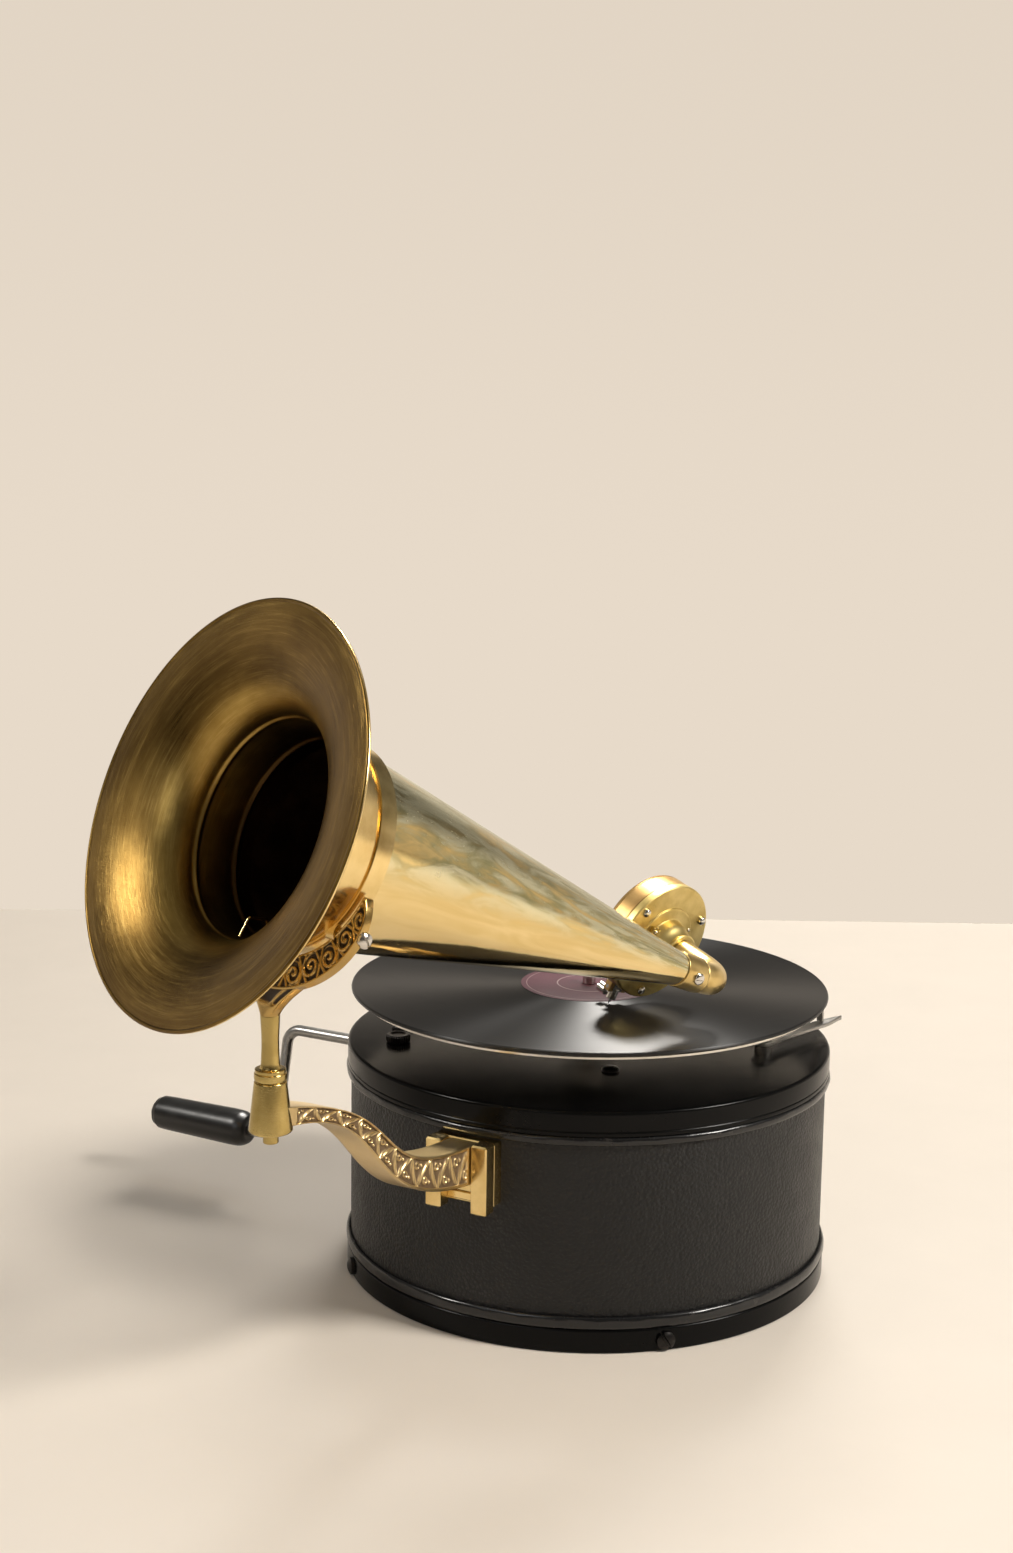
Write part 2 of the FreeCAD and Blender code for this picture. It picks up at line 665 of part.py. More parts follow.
def pinion_on(spot, mate, middle):
    """A pinion at a spot of the plan with a tooth gap towards the wheel it meshes with."""
    tooth_at = heading_of(spot, mate) + 180.0 / PINION_TEETH
    return gear(PINION_TEETH, tooth_at, spot, middle - PINION_T / 2, middle + PINION_T / 2)


def wheel_on(teeth, spot, mate, low, thickness, bore):
    """A bored wheel at a spot of the plan with a tooth towards the pinion it meshes with."""
    wheel = gear(teeth, heading_of(spot, mate), spot, low, low + thickness)
    return wheel.cut(column(bore, spot, low - 1, low + thickness + 1))


def make_spindle():
    shoulder_z = platter_z - HUB_H - SPINDLE_SHOULDER_H
    hub_z = shoulder_z + SPINDLE_SHOULDER_H
    foot_z = bottom_plate_z - 1
    dome_z = spindle_tip_z - SPINDLE_DOME
    steps = lines((0, spindle_tip_z), (0, foot_z), (ARBOR_R, foot_z), (ARBOR_R, shoulder_z),
                  (SPINDLE_SHOULDER_R, shoulder_z), (SPINDLE_SHOULDER_R, hub_z), (ARBOR_R, hub_z),
                  (ARBOR_R, record_z), (SPINDLE_WAIST_R, record_z), (SPINDLE_WAIST_R, waist_top),
                  (SPINDLE_TIP_R, waist_top), (SPINDLE_TIP_R, dome_z))
    dome = curve((SPINDLE_TIP_R, dome_z), (SPINDLE_TIP_R, spindle_tip_z), (0, spindle_tip_z))
    return joined([turned([*steps, dome]), pinion_on((0, 0), second_at, second_wheel_z + WHEEL_T / 2)])


def make_governor_wheel():
    return wheel_on(GOVERNOR_TEETH, (0, 0), governor_at, governor_wheel_z, WHEEL_T, ARBOR_R + SEAT_GAP)


def make_platter():
    lip = PLATTER_T / 2
    bore = ARBOR_R + SEAT_GAP
    hub_z = platter_z - HUB_H
    under = lines((bore, mat_z), (bore, hub_z), (HUB_R * 0.7, hub_z), (HUB_R, platter_z),
                  (PLATTER_R - lip, platter_z))
    roll = curve((PLATTER_R - lip, platter_z), (PLATTER_R, platter_z), (PLATTER_R, platter_z + lip))
    return turned([*under, roll, *lines((PLATTER_R, platter_z + lip), (PLATTER_R, mat_z), (bore, mat_z))])


def make_turntable_mat():
    return ring(PLATTER_R - MAT_INSET, ARBOR_R + SEAT_GAP, mat_z, record_z)


def make_record():
    return ring(record_r, SPINDLE_TIP_R + SEAT_GAP, record_z, record_top)


def make_record_label():
    return ring(LABEL_R, SPINDLE_TIP_R + SEAT_GAP, record_top, label_top)


# Motor frame

def plate_outline():
    """Corners of the motor plates, outside the pillars."""
    west = min(x for x, _ in pillar_spots) - PLATE_CORNER_R
    east = max(x for x, _ in pillar_spots) + PLATE_CORNER_R
    south = min(y for _, y in pillar_spots) - PLATE_CORNER_R
    north = max(y for _, y in pillar_spots) + PLATE_CORNER_R
    return west, east, south, north


def motor_plate(low):
    west, east, south, north = plate_outline()
    sheet = box((west, south, low), (east, north, low + PLATE_T))
    upright = [e for e in sheet.Edges if e.BoundBox.ZLength > PLATE_T / 2]
    sheet = sheet.makeFillet(PLATE_CORNER_R * 0.9, upright)
    for spot in pillar_spots:
        sheet = sheet.cut(column(PILLAR_BOLT_R + SEAT_GAP, spot, low - 1, low + PLATE_T + 1))
    for spot, radius in ((barrel_at, ARBOR_R), (second_at, SECOND_ARBOR_R), (governor_at, GOVERNOR_SHAFT_R)):
        sheet = sheet.cut(column(radius + RUN_GAP, spot, low - 1, low + PLATE_T + 1))
    return sheet


def make_motor_top_plate():
    hole = column(BUSH_R + SEAT_GAP, (0, 0), top_plate_z - 1, top_plate_top + 1)
    passage = column(REGULATOR_SHAFT_R + FREE_GAP, knob_spot, top_plate_z - 1, top_plate_top + 1)
    sheet = motor_plate(top_plate_z).cut(hole).cut(passage)
    start = -CRANK_BEARING_X
    end = start + CRANK_BEARING_W
    arm = box((start, -CRANK_BEARING_R, crank_z), (end, CRANK_BEARING_R, top_plate_z + PLATE_T / 2))
    tongue_end = max(end, plate_outline()[0] + CRANK_BEARING_W)
    tongue = box((start, -CRANK_BEARING_R, top_plate_z), (tongue_end, CRANK_BEARING_R, top_plate_top))
    eye = rod(CRANK_BEARING_R, Vector(start, 0, crank_z), Vector(1, 0, 0), CRANK_BEARING_W)
    bore = rod(CRANK_R + RUN_GAP, Vector(start - 1, 0, crank_z), Vector(1, 0, 0), CRANK_BEARING_W + 2)
    return joined([sheet, arm, tongue, eye]).cut(bore)


def click_frame():
    """Spot of the click's pin and of its tip, beside the ratchet wheel."""
    tip = (barrel_at[0] - RATCHET_R - FREE_GAP - CLICK_T / 2, barrel_at[1])
    return (tip[0], tip[1] - CLICK_L), tip


def make_motor_bottom_plate():
    sheet = motor_plate(bottom_plate_z)
    pin_spot, _ = click_frame()
    sheet = sheet.cut(column(ARBOR_R + RUN_GAP, (0, 0), bottom_plate_z - 1, bottom_plate_top + 1))
    return joined([sheet, column(CLICK_PIN_R, pin_spot, ratchet_z, bottom_plate_z + PLATE_T / 2)])


def make_motor_pillars():
    bore = PILLAR_BOLT_R + SEAT_GAP
    return group(ring(PILLAR_R, bore, bottom_plate_top, top_plate_z, spot) for spot in pillar_spots)


def make_motor_bolts():
    def bolt(through):
        return screw(PILLAR_BOLT_R, through + PILLAR_BOLT_L, PILLAR_BOLT_HEAD_R, PILLAR_BOLT_HEAD_H)

    long_bolt = bolt(CASE_H - top_plate_z)
    short_bolt = bolt(PLATE_T)
    tops = [placed(long_bolt, along(Vector(x, y, CASE_H), UP)) for x, y in pillar_spots]
    feet = [placed(short_bolt, along(Vector(x, y, bottom_plate_z), UP * -1)) for x, y in pillar_spots]
    return group(tops + feet)


def make_spindle_bush():
    middle = top_plate_z + PLATE_T / 2
    return ring(BUSH_R, ARBOR_R + RUN_GAP, middle - BUSH_L / 2, middle + BUSH_L / 2)


# Spring barrel and winding train

def make_second_arbor():
    bar = column(SECOND_ARBOR_R, second_at, bottom_plate_z - 1, top_plate_top + 1)
    return joined([bar, pinion_on(second_at, barrel_at, great_wheel_z + GREAT_WHEEL_T / 2)])


def make_second_wheel():
    return wheel_on(WHEEL_TEETH, second_at, (0, 0), second_wheel_z, WHEEL_T, SECOND_ARBOR_R + SEAT_GAP)


def make_great_wheel():
    return wheel_on(WHEEL_TEETH, barrel_at, second_at, great_wheel_z, GREAT_WHEEL_T, ARBOR_R + RUN_GAP)


def make_barrel_drum():
    floor_z = barrel_z + BARREL_WALL
    drum = ring(BARREL_R, ARBOR_R + RUN_GAP, barrel_z, barrel_z + BARREL_H, barrel_at)
    return drum.cut(column(BARREL_R - BARREL_WALL, barrel_at, floor_z, barrel_z + BARREL_H + 1))


def make_barrel_cover():
    return ring(BARREL_R, ARBOR_R + RUN_GAP, barrel_top - BARREL_COVER_T, barrel_top, barrel_at)


def make_mainspring():
    """A flat spring coiled in half turns, its outer end on the drum's wall."""
    outer = BARREL_R - BARREL_WALL - SEAT_GAP
    low = barrel_z + BARREL_WALL + SPRING_CLEAR
    high = barrel_z + BARREL_H - SPRING_CLEAR

    def half_turns(start_radius):
        arcs = []
        centre, radius, side = 0.0, start_radius, 1
        for _ in range(2 * SPRING_TURNS):
            first = Vector(centre + side * radius, 0, low)
            top = Vector(centre, side * radius, low)
            last = Vector(centre - side * radius, 0, low)
            arcs.append(Part.Arc(first, top, last).toShape())
            radius -= SPRING_PITCH / 4
            centre -= side * SPRING_PITCH / 4
            side = -side
        return arcs, arcs[0].Vertexes[0].Point, last

    outside, outside_start, outside_end = half_turns(outer)
    inside, inside_start, inside_end = half_turns(outer - SPRING_T)
    caps = [Part.makeLine(outside_start, inside_start), Part.makeLine(outside_end, inside_end)]
    outline = Part.Wire(Part.__sortEdges__(outside + inside + caps))
    spring = Part.Face(outline).extrude(UP * (high - low))
    spring.translate(Vector(barrel_at[0], barrel_at[1], 0))
    return spring


def make_barrel_arbor():
    return column(ARBOR_R, barrel_at, ratchet_z - 2, top_plate_top + 1)


def make_winding_wheel():
    wheel = bevel_gear(BEVEL_WHEEL_TEETH, BEVEL_PINION_TEETH, 180.0)
    wheel.translate(Vector(barrel_at[0], barrel_at[1], crank_z))
    return wheel.cut(column(ARBOR_R + SEAT_GAP, barrel_at, bevel_z - BEVEL_HUB_T - 1, crank_z))


def make_ratchet_wheel():
    points = []
    for angle in around(RATCHET_TEETH):
        tip = radians(angle)
        points.append((barrel_at[0] + RATCHET_R * cos(tip), barrel_at[1] + RATCHET_R * sin(tip)))
        root = RATCHET_R - RATCHET_TOOTH
        points.append((barrel_at[0] + root * cos(tip), barrel_at[1] + root * sin(tip)))
    ratchet = plate(points, ratchet_z, ratchet_z + RATCHET_T)
    return ratchet.cut(column(ARBOR_R + SEAT_GAP, barrel_at, ratchet_z - 1, ratchet_z + RATCHET_T + 1))


def make_click_pawl():
    pin_spot, tip = click_frame()
    half = CLICK_T / 2
    low = ratchet_z + (RATCHET_T - CLICK_W) / 2 + 1
    high = ratchet_z + RATCHET_T
    blade = box((tip[0] - half, pin_spot[1], low), (tip[0] + half, tip[1], high))
    eye = column(CLICK_PIN_R + CLICK_T / 2, pin_spot, low, high)
    return joined([blade, eye]).cut(column(CLICK_PIN_R + RUN_GAP, pin_spot, low - 1, high + 1))


# Crank

def crank_bends():
    """Corners of the crank: inner end, two bends and the end inside the handle."""
    inner = Vector(-BARREL_OFFSET - bevel_wheel_r * (1 - BEVEL_FACE), 0, crank_z)
    first = Vector(-CRANK_REACH, 0, crank_z)
    second = first + crank_down * CRANK_THROW
    end = second + OUTWARD * (HANDLE_GAP + HANDLE_BORE_L - FREE_GAP)
    return inner, first, second, end


def bent_rod(corners, radius, bend):
    """A round rod along straight runs joined by arcs of one radius."""
    pieces = []
    start = corners[0]
    for before, corner, after in zip(corners, corners[1:], corners[2:]):
        came = (corner - before).normalize()
        goes = (after - corner).normalize()
        turn = acos(came.dot(goes))
        trim = bend * tan(turn / 2)
        arc_start = corner - came * trim
        pieces.append(rod(radius, start, came, (arc_start - start).Length))
        side = (goes - came * came.dot(goes)).normalize()
        section = Part.Face(Part.Wire(Part.makeCircle(radius, arc_start, came)))
        pieces.append(section.revolve(arc_start + side * bend, came.cross(goes), degrees(turn)))
        start = corner + goes * trim
    last = (corners[-1] - corners[-2]).normalize()
    pieces.append(rod(radius, start, last, (corners[-1] - start).Length))
    return joined(pieces)


def make_crank_rod():
    return bent_rod(crank_bends(), CRANK_R, CRANK_BEND_R)


def make_winding_pinion():
    pinion = bevel_gear(BEVEL_PINION_TEETH, BEVEL_WHEEL_TEETH, 180.0 / BEVEL_PINION_TEETH)
    facing = Rotation(Vector(0, 0, -1), Vector(0, 1, 0), Vector(1, 0, 0), "ZXY")
    apex = Placement(Vector(-BARREL_OFFSET, 0, crank_z), facing)
    return placed(pinion, apex).cut(rod(CRANK_R + SEAT_GAP, crank_centre, OUTWARD, CASE_R))


def make_crank_bush():
    flange = rod(CRANK_BUSH_FLANGE_R, Vector(-wall_r - FREE_GAP, 0, crank_z), OUTWARD, CRANK_BUSH_FLANGE_T)
    sleeve = rod(CRANK_BUSH_R, Vector(-wall_in_r + 2, 0, crank_z), OUTWARD, WALL_T + 2 + FREE_GAP)
    return joined([flange, sleeve]).cut(rod(CRANK_R + RUN_GAP, crank_centre, OUTWARD, CASE_R * 2))


def make_crank_handle():
    nose = HANDLE_L - HANDLE_NOSE
    bore = CRANK_R + RUN_GAP
    grip = turned([
        *lines((bore, HANDLE_BORE_L), (bore, 0), (HANDLE_R - HANDLE_HEEL, 0)),
        curve((HANDLE_R - HANDLE_HEEL, 0), (HANDLE_R, 0), (HANDLE_R, HANDLE_HEEL)),
        *lines((HANDLE_R, HANDLE_HEEL), (HANDLE_END_R, nose)),
        curve((HANDLE_END_R, nose), (HANDLE_END_R, HANDLE_L), (HANDLE_END_R * 0.4, HANDLE_L), (0, HANDLE_L)),
        *lines((0, HANDLE_L), (0, HANDLE_BORE_L), (bore, HANDLE_BORE_L))])
    _, _, corner, _ = crank_bends()
    return placed(grip, along(corner + OUTWARD * HANDLE_GAP, OUTWARD))


# Governor

governor_collar_z = governor_wheel_z - PINION_T - GOVERNOR_COLLAR_H
governor_hub_top = governor_collar_z - GOVERNOR_SPAN
governor_disc_top = governor_hub_top - GOVERNOR_HUB_H


def make_governor_shaft():
    bar = column(GOVERNOR_SHAFT_R, governor_at, bottom_plate_z - 1, top_plate_top + 1)
    collar = column(GOVERNOR_COLLAR_R, governor_at, governor_collar_z, governor_collar_z + GOVERNOR_COLLAR_H)
    return joined([bar, collar, pinion_on(governor_at, (0, 0), governor_wheel_z + WHEEL_T / 2)])


def leaf_middle():
    """Height and radius of the bow of a governor leaf."""
    return (governor_collar_z + governor_hub_top) / 2, GOVERNOR_COLLAR_R + SEAT_GAP + LEAF_BOW


def make_governor_springs():
    middle, _ = leaf_middle()
    foot = GOVERNOR_COLLAR_R + SEAT_GAP
    high = governor_collar_z + GOVERNOR_COLLAR_H
    low = governor_disc_top + GOVERNOR_HUB_H / 2

    def side(radius):
        crown = radius + LEAF_BOW * 4 / 3
        bow = curve((radius, governor_collar_z), (crown, middle + GOVERNOR_SPAN / 4),
                    (crown, middle - GOVERNOR_SPAN / 4), (radius, governor_hub_top))
        return [*lines((radius, high), (radius, governor_collar_z)), bow,
                *lines((radius, governor_hub_top), (radius, low))]

    ends = [lines((foot, z), (foot + LEAF_T, z))[0] for z in (low, high)]
    outline = side(foot) + side(foot + LEAF_T) + ends
    leaf = Part.Face(Part.Wire(Part.__sortEdges__(outline))).extrude(Vector(0, LEAF_W, 0))
    leaf.translate(Vector(0, -LEAF_W / 2, 0))
    axis = Vector(governor_at[0], governor_at[1], 0)
    return group(placed(leaf, Placement(axis, Rotation(UP, angle))) for angle in around(LEAF_COUNT, 30.0))


def make_governor_weights():
    middle, bow = leaf_middle()
    start = bow + LEAF_T + SEAT_GAP
    weights = []
    for angle in around(LEAF_COUNT, 30.0):
        out = Vector(cos(radians(angle)), sin(radians(angle)), 0)
        axis = Vector(governor_at[0], governor_at[1], middle)
        weights.append(rod(WEIGHT_R, axis + out * start, out, WEIGHT_L))
    return group(weights)


def make_governor_disc():
    disc = column(GOVERNOR_DISC_R, governor_at, governor_disc_top - GOVERNOR_DISC_T, governor_disc_top)
    hub = column(GOVERNOR_COLLAR_R, governor_at, governor_disc_top, governor_hub_top)
    bore = column(GOVERNOR_SHAFT_R + RUN_GAP, governor_at, bottom_plate_top, governor_collar_z)
    return joined([disc, hub]).cut(bore)


def regulator_pad():
    """Spot of the regulator's pad, on the line from the governor to the knob."""
    across = hypot(knob_spot[0] - governor_at[0], knob_spot[1] - governor_at[1])
    share = REGULATOR_PAD_RADIUS / across
    return tuple(g + (k - g) * share for g, k in zip(governor_at, knob_spot))


regulator_arm_z = governor_disc_top + GOVERNOR_TRAVEL + 3 * FREE_GAP


def make_speed_knob():
    knob_z = CASE_H + FREE_GAP
    knob = column(KNOB_R, knob_spot, knob_z, knob_z + KNOB_H)
    knob = knob.makeFillet(KNOB_H * 0.3, [e for e in knob.Edges if e.BoundBox.ZMin > knob_z + KNOB_H / 2])
    x, y = knob_spot
    slot = box((x - KNOB_R, y - SLOT_W, knob_z + KNOB_H / 2), (x + KNOB_R, y + SLOT_W, knob_z + KNOB_H + 1))
    stem = column(REGULATOR_SHAFT_R, knob_spot, regulator_arm_z, knob_z + KNOB_H / 2 - 0.5)
    return joined([knob.cut(slot), stem])


def make_regulator_arm():
    pad = regulator_pad()
    high = regulator_arm_z + REGULATOR_ARM_T
    half = REGULATOR_ARM_W / 2
    reach = hypot(pad[0] - knob_spot[0], pad[1] - knob_spot[1])
    straight = box((0, -half, regulator_arm_z), (reach, half, high))
    knob_axis = Vector(knob_spot[0], knob_spot[1], 0)
    bar = placed(straight, Placement(knob_axis, Rotation(UP, heading_of(knob_spot, pad))))
    eye = column(REGULATOR_ARM_W / 2 + 1, knob_spot, regulator_arm_z, high)
    foot = column(REGULATOR_PAD_R, pad, regulator_arm_z - 2 * FREE_GAP, high)
    arm = joined([bar, eye, foot])
    return arm.cut(column(REGULATOR_SHAFT_R + SEAT_GAP, knob_spot, regulator_arm_z - 1, high + 1))


# Brake

brake_z = CASE_H + BRAKE_LIFT
brake_angle = atan2(BRAKE_RUN[1], BRAKE_RUN[0])
brake_way = (cos(brake_angle), sin(brake_angle))


def brake_upright_reach():
    """Length along the lever, from its pivot to where the pad's back clears the record."""
    pad_back = max(record_r, PLATTER_R) + BRAKE_PAD_CLEAR + BRAKE_PAD_T
    along_start = brake_spot[0] * brake_way[0] + brake_spot[1] * brake_way[1]
    start_sq = brake_spot[0] ** 2 + brake_spot[1] ** 2
    return -along_start + sqrt(along_start ** 2 - start_sq + pad_back ** 2)


def brake_pad_frame():
    """Frame of the brake pad on the lever: local X points at the record's axis."""
    reach = brake_upright_reach()
    spot = Vector(brake_spot[0] + brake_way[0] * reach, brake_spot[1] + brake_way[1] * reach, 0)
    return Placement(spot, Rotation(UP, degrees(atan2(-spot.y, -spot.x))))


def make_brake_post():
    head_z = brake_z + BRAKE_LEVER_T + FREE_GAP
    half_z = head_z + BRAKE_POST_HEAD_H / 2
    post = column(BRAKE_POST_R, brake_spot, lid_under, half_z)
    shoulder = column(BRAKE_POST_HEAD_R, brake_spot, CASE_H, brake_z - RUN_GAP)
    head = column(BRAKE_POST_HEAD_R, brake_spot, head_z, head_z + BRAKE_POST_HEAD_H)
    head = head.makeFillet(BRAKE_POST_HEAD_H * 0.7, [e for e in head.Edges if e.BoundBox.ZMin > half_z])
    return joined([post, shoulder, head])


def make_brake_lever():
    half = BRAKE_LEVER_W / 2
    length = brake_upright_reach() + BRAKE_TIP_PAST
    straight = box((0, -half, 0), (length - half, half, BRAKE_LEVER_T))
    tip = column(half, (length - half, 0), 0, BRAKE_LEVER_T)
    eye = column(BRAKE_POST_HEAD_R + 1, (0, 0), 0, BRAKE_LEVER_T)
    bore = column(BRAKE_POST_R + RUN_GAP, (0, 0), -1, BRAKE_LEVER_T + 1)
    pivot = Vector(brake_spot[0], brake_spot[1], brake_z)
    swung = Placement(pivot, Rotation(UP, degrees(brake_angle)))
    lever = placed(joined([straight, tip, eye]).cut(bore), swung)
    post_top = mat_z
    upright = box((-BRAKE_LEVER_T, -BRAKE_PAD_W / 2, brake_z), (0, BRAKE_PAD_W / 2, post_top))
    return joined([lever, placed(upright, brake_pad_frame())])


def make_brake_pad():
    low = mat_z - BRAKE_PAD_H
    pad = box((SEAT_GAP, -BRAKE_PAD_W / 2, low), (BRAKE_PAD_T, BRAKE_PAD_W / 2, mat_z))
    return placed(pad, brake_pad_frame())


# Yoke and horn

def side_bosses(radius, start, end):
    """Two round bosses on the tilt axis, one each side, in the horn's frame."""
    return [rod(radius, Vector(side * start, -CHORD_DROP, 0), Vector(side, 0, 0), end - start)
            for side in (-1, 1)]


def crescent():
    """Radius of the crescent's outer circle and the drop of its centre below the horn's axis."""
    bottom = YOKE_INNER_R + YOKE_DEPTH
    drop = (bottom ** 2 - YOKE_INNER_R ** 2) / (2 * (bottom - YOKE_INNER_R * sin(radians(YOKE_TIP))))
    return bottom - drop, drop


def eye_in():
    """Half of the crescent's opening at the tilt axis."""
    return sqrt(YOKE_INNER_R ** 2 - CHORD_DROP ** 2)


def eye_out():
    """Half of the crescent's width at the tilt axis."""
    outer_r, drop = crescent()
    return sqrt(outer_r ** 2 - (CHORD_DROP - drop) ** 2)


def make_yoke():
    pin_z = socket_z - YOKE_TAIL_H
    shoulder_z = socket_z + SOCKET_H + RUN_GAP
    stem_z = shoulder_z + YOKE_SHOULDER_H
    top_z = yoke_foot.z + YOKE_W / 2
    bead = YOKE_SHOULDER_R - 1
    crown = YOKE_SHOULDER_R + 0.4
    pin = lines((0, top_z), (0, pin_z), (YOKE_TAIL_R, pin_z), (YOKE_TAIL_R, socket_z), (YOKE_PIN_R, socket_z),
                (YOKE_PIN_R, shoulder_z), (bead, shoulder_z))
    shoulder = curve((bead, shoulder_z), (crown, shoulder_z), (crown, stem_z), (bead, stem_z))
    upper = lines((bead, stem_z), (YOKE_STEM_R, stem_z), (YOKE_NECK_R, top_z), (0, top_z))
    stem = turned([*pin, shoulder, *upper])
    stem.translate(swivel)
    half = YOKE_W / 2
    outer_r, drop = crescent()
    fork = column(outer_r, (0, -drop), -half, half).cut(column(YOKE_INNER_R, (0, 0), -half - 1, half + 1))
    point_y = YOKE_TIP_CUT + YOKE_INNER_R * sin(radians(YOKE_TIP))
    fork = fork.common(box((-RIM_R, -RIM_R, -half), (RIM_R, -point_y, half)))
    bore = rod(PIVOT_R + RUN_GAP, Vector(-RIM_R, -CHORD_DROP, 0), Vector(1, 0, 0), 2 * RIM_R)
    seat = rod(LUG_R + FREE_GAP, Vector(-eye_in(), -CHORD_DROP, 0), Vector(1, 0, 0), 2 * eye_in())
    faces = side_bosses(PIVOT_HEAD_R + FREE_GAP, eye_out(), RIM_R)
    fork = fork.cut(bore).cut(seat)
    for face in faces:
        fork = fork.cut(face)
    fan_top = -YOKE_INNER_R - YOKE_DEPTH * 0.7
    fan_low = fan_top - YOKE_FAN_H
    foot_w = YOKE_NECK_R * 0.9
    sides = []
    for side in (-1, 1):
        bezier = Part.BezierCurve()
        bezier.setPoles([Vector(side * YOKE_FAN_W / 2, fan_top, -half),
                         Vector(side * foot_w, fan_top - YOKE_FAN_H / 3, -half),
                         Vector(side * foot_w, fan_low, -half)])
        sides.append(bezier.toShape())
    ends = [Part.makeLine(Vector(-w, y, -half), Vector(w, y, -half))
            for w, y in ((YOKE_FAN_W / 2, fan_top), (foot_w, fan_low))]
    fan = Part.Face(Part.Wire(Part.__sortEdges__(sides + ends))).extrude(UP * YOKE_W)
    return joined([stem, placed(joined([fork, fan]), horn_place)])


def make_horn_bell():
    """The mouth: a short throat that flares in a quarter ellipse to a beaded rim."""
    flare_z = BELL_DEPTH - BELL_FLARE_DEPTH
    kappa = 0.5523

    def flare(throat, mouth_z):
        bend_z = flare_z + kappa * (mouth_z - flare_z)
        bend_r = RIM_R - kappa * (RIM_R - throat)
        return curve((throat, flare_z), (throat, bend_z), (bend_r, mouth_z), (RIM_R, mouth_z))

    outer_throat = BELL_THROAT_R + BELL_WALL
    back_z = BELL_DEPTH - BELL_WALL
    inside = [*lines((CONE_R - BELL_WALL, 0), (BELL_THROAT_R, flare_z)), flare(BELL_THROAT_R, BELL_DEPTH)]
    outside = [flare(outer_throat, back_z), *lines((outer_throat, flare_z), (CONE_R, 0))]
    ends = lines((RIM_R, BELL_DEPTH), (RIM_R, back_z)) + lines((CONE_R, 0), (CONE_R - BELL_WALL, 0))
    shell = turned(inside + outside + ends)
    bead = Part.makeTorus(RIM_R, RIM_BEAD_R, Vector(0, 0, BELL_DEPTH - BELL_WALL / 2))
    return placed(joined([shell, bead]), horn_place)


def lug_reach():
    """Outer end of the collar's lugs, just inside the yoke's arms."""
    return eye_in() - FREE_GAP


def make_horn_collar():
    half = COLLAR_W / 2
    slope = (BELL_THROAT_R + BELL_WALL - CONE_R) / (BELL_DEPTH - BELL_FLARE_DEPTH)
    inner = CONE_R + slope * max(half, LUG_R) + SEAT_GAP
    band = ring(COLLAR_R, inner, -half, half)
    start = sqrt(COLLAR_R ** 2 - CHORD_DROP ** 2) - 2 * LUG_R
    lugs = side_bosses(LUG_R, start, lug_reach())
    whole = joined([band, *lugs]).cut(column(inner, (0, 0), -2 * COLLAR_R, 2 * COLLAR_R))
    bore = rod(PIVOT_R + SEAT_GAP, Vector(-RIM_R, -CHORD_DROP, 0), Vector(1, 0, 0), 2 * RIM_R)
    return placed(whole.cut(bore), horn_place)


def make_pivot_screws():
    head_x = eye_out() + FREE_GAP
    inside = sqrt(COLLAR_R ** 2 - CHORD_DROP ** 2) + 0.5
    one = screw(PIVOT_R, head_x - inside, PIVOT_HEAD_R, PIVOT_HEAD_H)
    sides = [along(Vector(side * head_x, -CHORD_DROP, 0), Vector(side, 0, 0)) for side in (-1, 1)]
    return placed(group(placed(one, side) for side in sides), horn_place)


def make_horn_cone():
    low = -CONE_LENGTH
    shell = spun((CONE_R, 0), (CONE_R - CONE_WALL, 0), (CONE_END_R - CONE_WALL, low), (CONE_END_R, low))
    return placed(shell, horn_place)


def elbow_screw_frame():
    """Frame of the set screw in the side of the ferrule, in the horn's frame."""
    middle = -CONE_LENGTH - FERRULE_L / 2
    out = Vector(1, -0.2, 0).normalize()
    return along(out * FERRULE_R + Vector(0, 0, middle), out)


def make_horn_ferrule():
    low = -CONE_LENGTH - FERRULE_L
    sleeve = ring(FERRULE_R, ELBOW_BORE_R, low, -CONE_LENGTH)
    hole = column(ELBOW_SCREW_R + SEAT_GAP, (0, 0), ELBOW_BORE_R - FERRULE_R - 1, 1)
    return placed(sleeve.cut(placed(hole, elbow_screw_frame())), horn_place)


def make_elbow_screw():
    length = FERRULE_R - ELBOW_BORE_R - SEAT_GAP
    one = screw(ELBOW_SCREW_R, length, ELBOW_SCREW_HEAD_R, ELBOW_SCREW_HEAD_H)
    lift = Placement(Vector(0, 0, SEAT_GAP), Rotation())
    return placed(placed(one, elbow_screw_frame().multiply(lift)), horn_place)


def tube(outer, inner, start, direction, length):
    """A straight round tube."""
    return rod(outer, start, direction, length).cut(rod(inner, start - direction, direction, length + 2))


def make_elbow():
    lead = tube(ELBOW_R, ELBOW_BORE_R, elbow_start, tube_dir, ELBOW_LEAD)
    outer = Part.Wire(Part.makeCircle(ELBOW_R, bend_start, tube_dir))
    inner = Part.Wire(Part.makeCircle(ELBOW_BORE_R, bend_start, tube_dir))
    axis = tube_dir.cross(neck_dir)
    solid = Part.Face(outer).revolve(bend_centre, axis, degrees(elbow_turn))
    hollow = Part.Face(inner).revolve(bend_centre, axis, degrees(elbow_turn))
    tail = tube(ELBOW_R, NECK_BORE_R, bend_end, neck_dir, ELBOW_TAIL)
    neck = tube(NECK_R, NECK_BORE_R, bend_end, neck_dir, ELBOW_TAIL + FREE_GAP + NECK_L)
    return joined([lead, solid.cut(hollow), tail, neck])


# Soundbox

